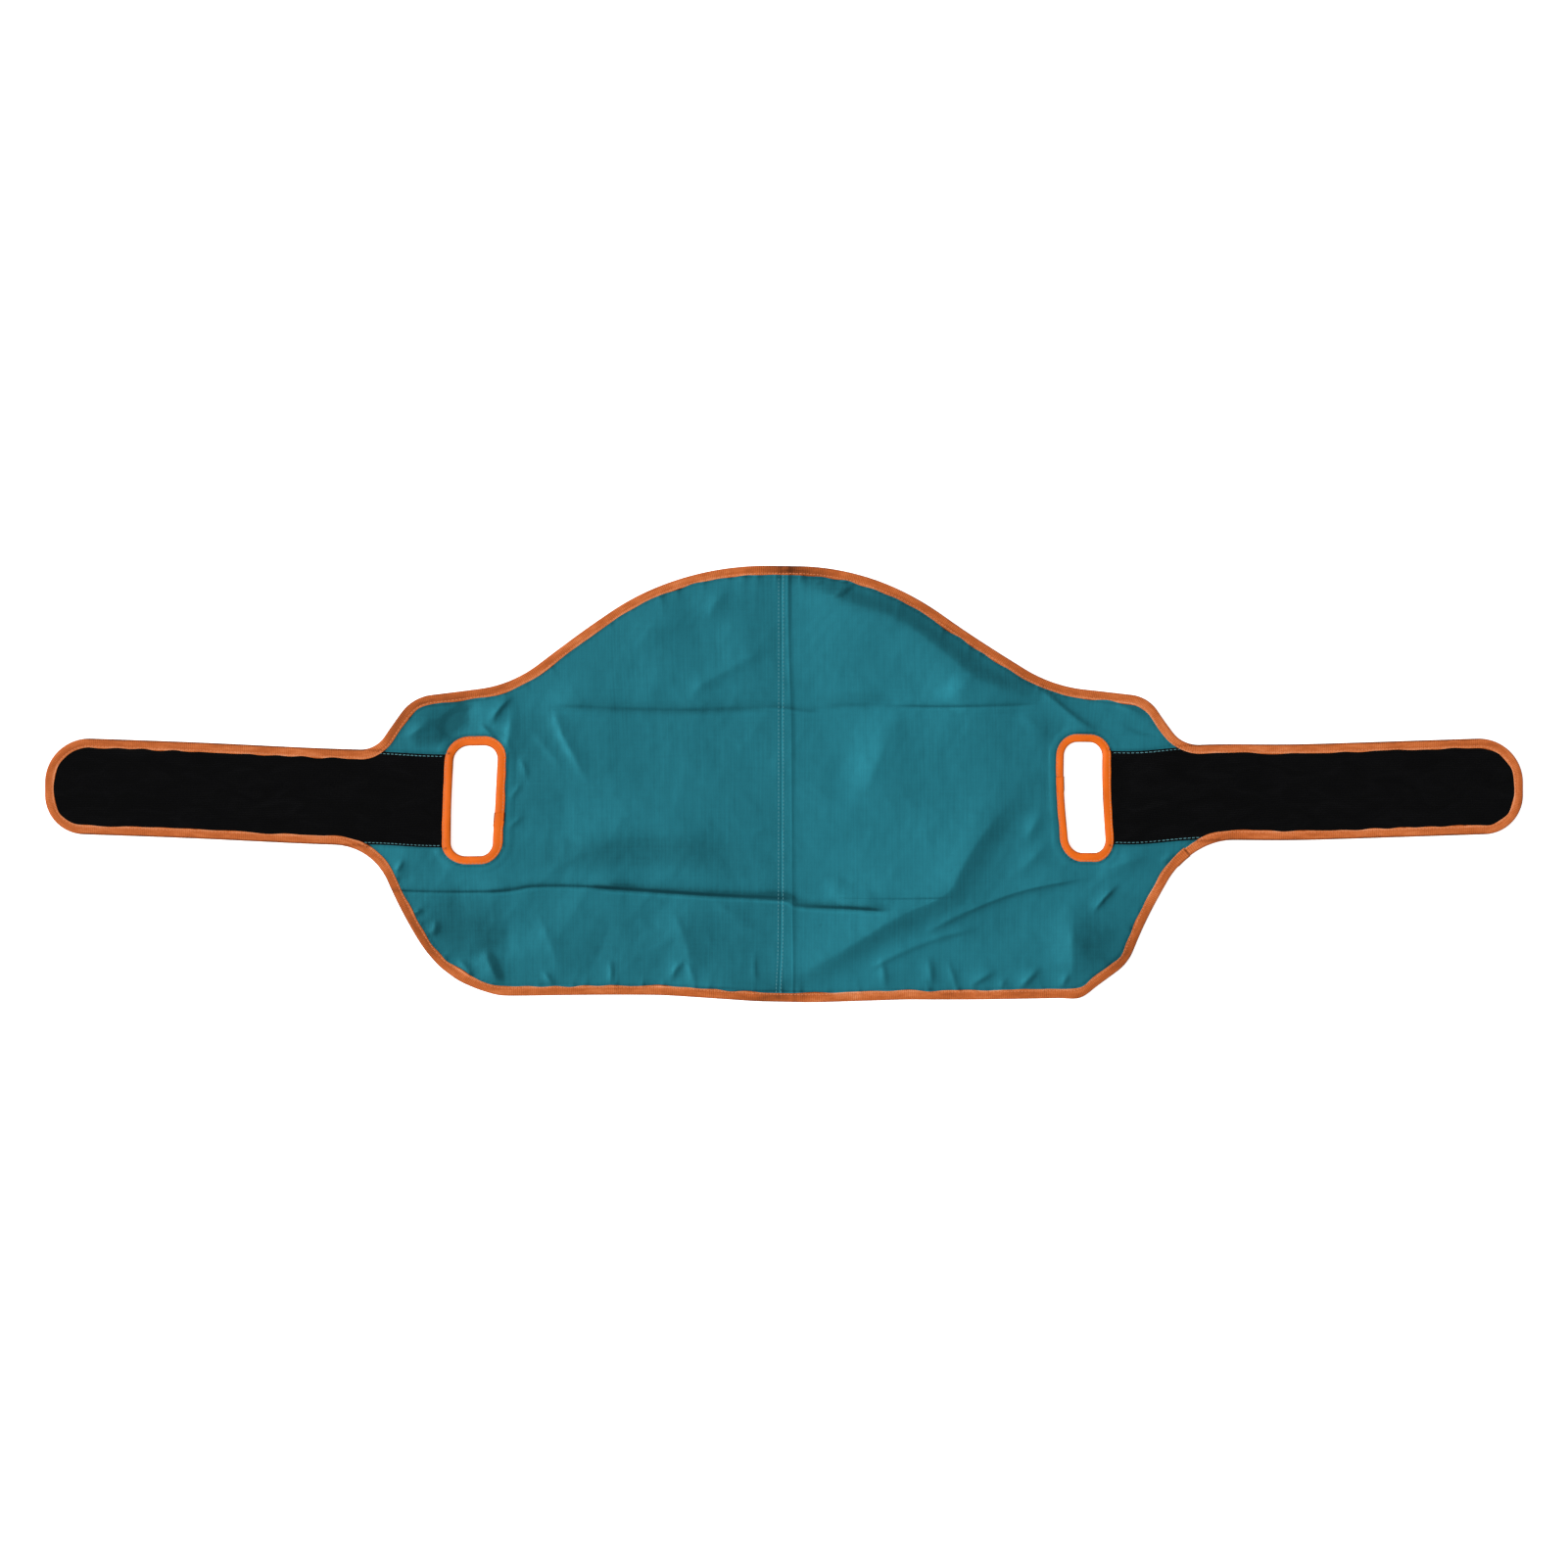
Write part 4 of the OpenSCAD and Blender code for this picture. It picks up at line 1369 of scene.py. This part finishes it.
strips_flat = joined([make_strip(side) for side in SIDES.values()])
strips = folding_pieces("loop_strip", strips_flat, loop_paint)

STRIP_STITCH = {"pitch": 3.4, "length": 2.6, "width": 0.6, "height": 0.3}
# How far in from a strip's long edge the row is, where it starts and ends, and its height
STRIP_STITCH_IN, STRIP_STITCH_X = 1.6, (STRIP_START + 6, 362)
STRIP_STITCH_SAMPLES = 90
STRIP_STITCH_Z = SHELL_Z + STRIP_T - 0.05


def strip_edge_stitches():
    """A row along each long edge of a strip, where it runs over the panel."""
    rows = []
    x = np.linspace(*STRIP_STITCH_X, STRIP_STITCH_SAMPLES)
    for side in SIDES.values():
        for edge in (-1, 1):
            y = arm_line(x) + edge * (STRIP_W / 2 - STRIP_STITCH_IN)
            rows.append(stitch_row(side * x, y, STRIP_STITCH_Z, **STRIP_STITCH))
    return joined(rows)


strip_rows = strip_edge_stitches()
strip_threads = folding_pieces("strip_stitches", strip_rows, panel_thread)


# ---- Hook patch, behind the left tip ----

HOOK_PITCH = 2.2


def inside_hook(x, y):
    across, along = inside_band(x, y, HOOK_W), -x - (HALF_L - HOOK_MARGIN - HOOK_L)
    return np.minimum(np.minimum(across, along), edge_place(x, y)[1] - HOOK_MARGIN)


def make_hook_patch():
    xs = grid_lines(-HALF_L, -HALF_L + HOOK_MARGIN + HOOK_L + END_MARGIN, HOOK_PITCH)
    ys = grid_lines(*ARM_SPAN, HOOK_PITCH)
    raised = HOOK_T - TAPE_T
    flat = cloth_grid(inside_hook, xs, ys, -raised, 0, downwards=True, skirt=LINING_Z)
    patch = riding_piece("hook_patch_field", flat, hook_paint, "tip_left")
    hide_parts("hook_patch")


make_hook_patch()


# ---- Centre seam ----

SEAM_STITCH = {"pitch": 3.2, "length": 2.5, "width": 0.55, "height": 0.3}
# Where the rows run, from the groove, how far from the cloth's edge they end, and their samples
SEAM_ROWS, SEAM_ROW_END, SEAM_ROW_SAMPLES = (-2.5, 1.6), 7, 240


def seam_stitches():
    """The two rows that hold the seam, either side of its groove."""
    line = smooth_line(SEAM_LINE)
    y = np.linspace(HALF_H - SEAM_ROW_END, -HALF_H + SEAM_ROW_END, SEAM_ROW_SAMPLES)
    groove = np.interp(-y, -line[:, 1], line[:, 0])
    return joined([stitch_row(groove + off, y, SHELL_Z, **SEAM_STITCH) for off in SEAM_ROWS])


seam_threads = folding_pieces("seam_stitches", seam_stitches(), panel_thread)


# ---- Hiding the CAD solids that the pieces replace ----

def declare_layer(part):
    """Hides this layer's CAD solids at each fold, which the pieces replace."""
    for fold in folds:
        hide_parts(*(f"{part}_{body}" for body in fold.stands_for))


declare_layer("shell")
declare_layer("lining")
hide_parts("centre_seam_fell")
for fold in folds:
    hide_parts(*(f"binding_{body}" for body in fold.stands_for))
for name in SIDES:
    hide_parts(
        f"loop_strip_wing_{name}", f"loop_strip_arm_{name}"
    )
    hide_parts(f"loop_strip_tip_{name}")


# ---- Floor and light ----

# In metres. The floor is so wide that its edge isn't seen from low angles
FLOOR_Z, FLOOR_HALF = -0.0003, 60.0
FLOOR_GLOW = 0.70
# The key light stands on the left: bearing and elevation, and the sun's width, in degrees
KEY_AZIMUTH, KEY_ELEVATION, KEY_SPREAD = 172, 46, 26
KEY_STRENGTH, WORLD_STRENGTH = 3.93, 0.35


def make_floor():
    mesh = bpy.data.meshes.new("floor")
    corners = ((-1, -1), (1, -1), (1, 1), (-1, 1))
    points = [(sx * FLOOR_HALF, sy * FLOOR_HALF, FLOOR_Z) for sx, sy in corners]
    mesh.from_pydata(points, [], [(0, 1, 2, 3)])
    matt = {"Base_Color": (0.9, 0.9, 0.9, 1), "Roughness": 0.9, "Specular_IOR_Level": 0.1}
    glow = {"Emission_Color": (1, 1, 1, 1), "Emission_Strength": FLOOR_GLOW}
    mesh.materials.append(Paint("floor", **matt, **glow).material)
    floor = new_object("floor", mesh)


def make_key_light():
    data = bpy.data.lights.new("key", "SUN")
    data.energy, data.angle = KEY_STRENGTH, math.radians(KEY_SPREAD)
    light = new_object("key", data)
    a, e = math.radians(KEY_AZIMUTH), math.radians(KEY_ELEVATION)
    away = Vector((math.cos(a) * math.cos(e), math.sin(a) * math.cos(e), math.sin(e)))
    light.rotation_mode = "QUATERNION"
    light.rotation_quaternion = away.to_track_quat("Z", "Y")


def make_world():
    world = bpy.data.worlds.new("studio")
    world.use_nodes = True
    background = world.node_tree.nodes["Background"]
    background.inputs["Color"].default_value = (1, 1, 1, 1)
    background.inputs["Strength"].default_value = WORLD_STRENGTH
    bpy.context.scene.world = world


make_floor()
make_world()
make_key_light()
bpy.context.scene.view_settings.view_transform = "Standard"
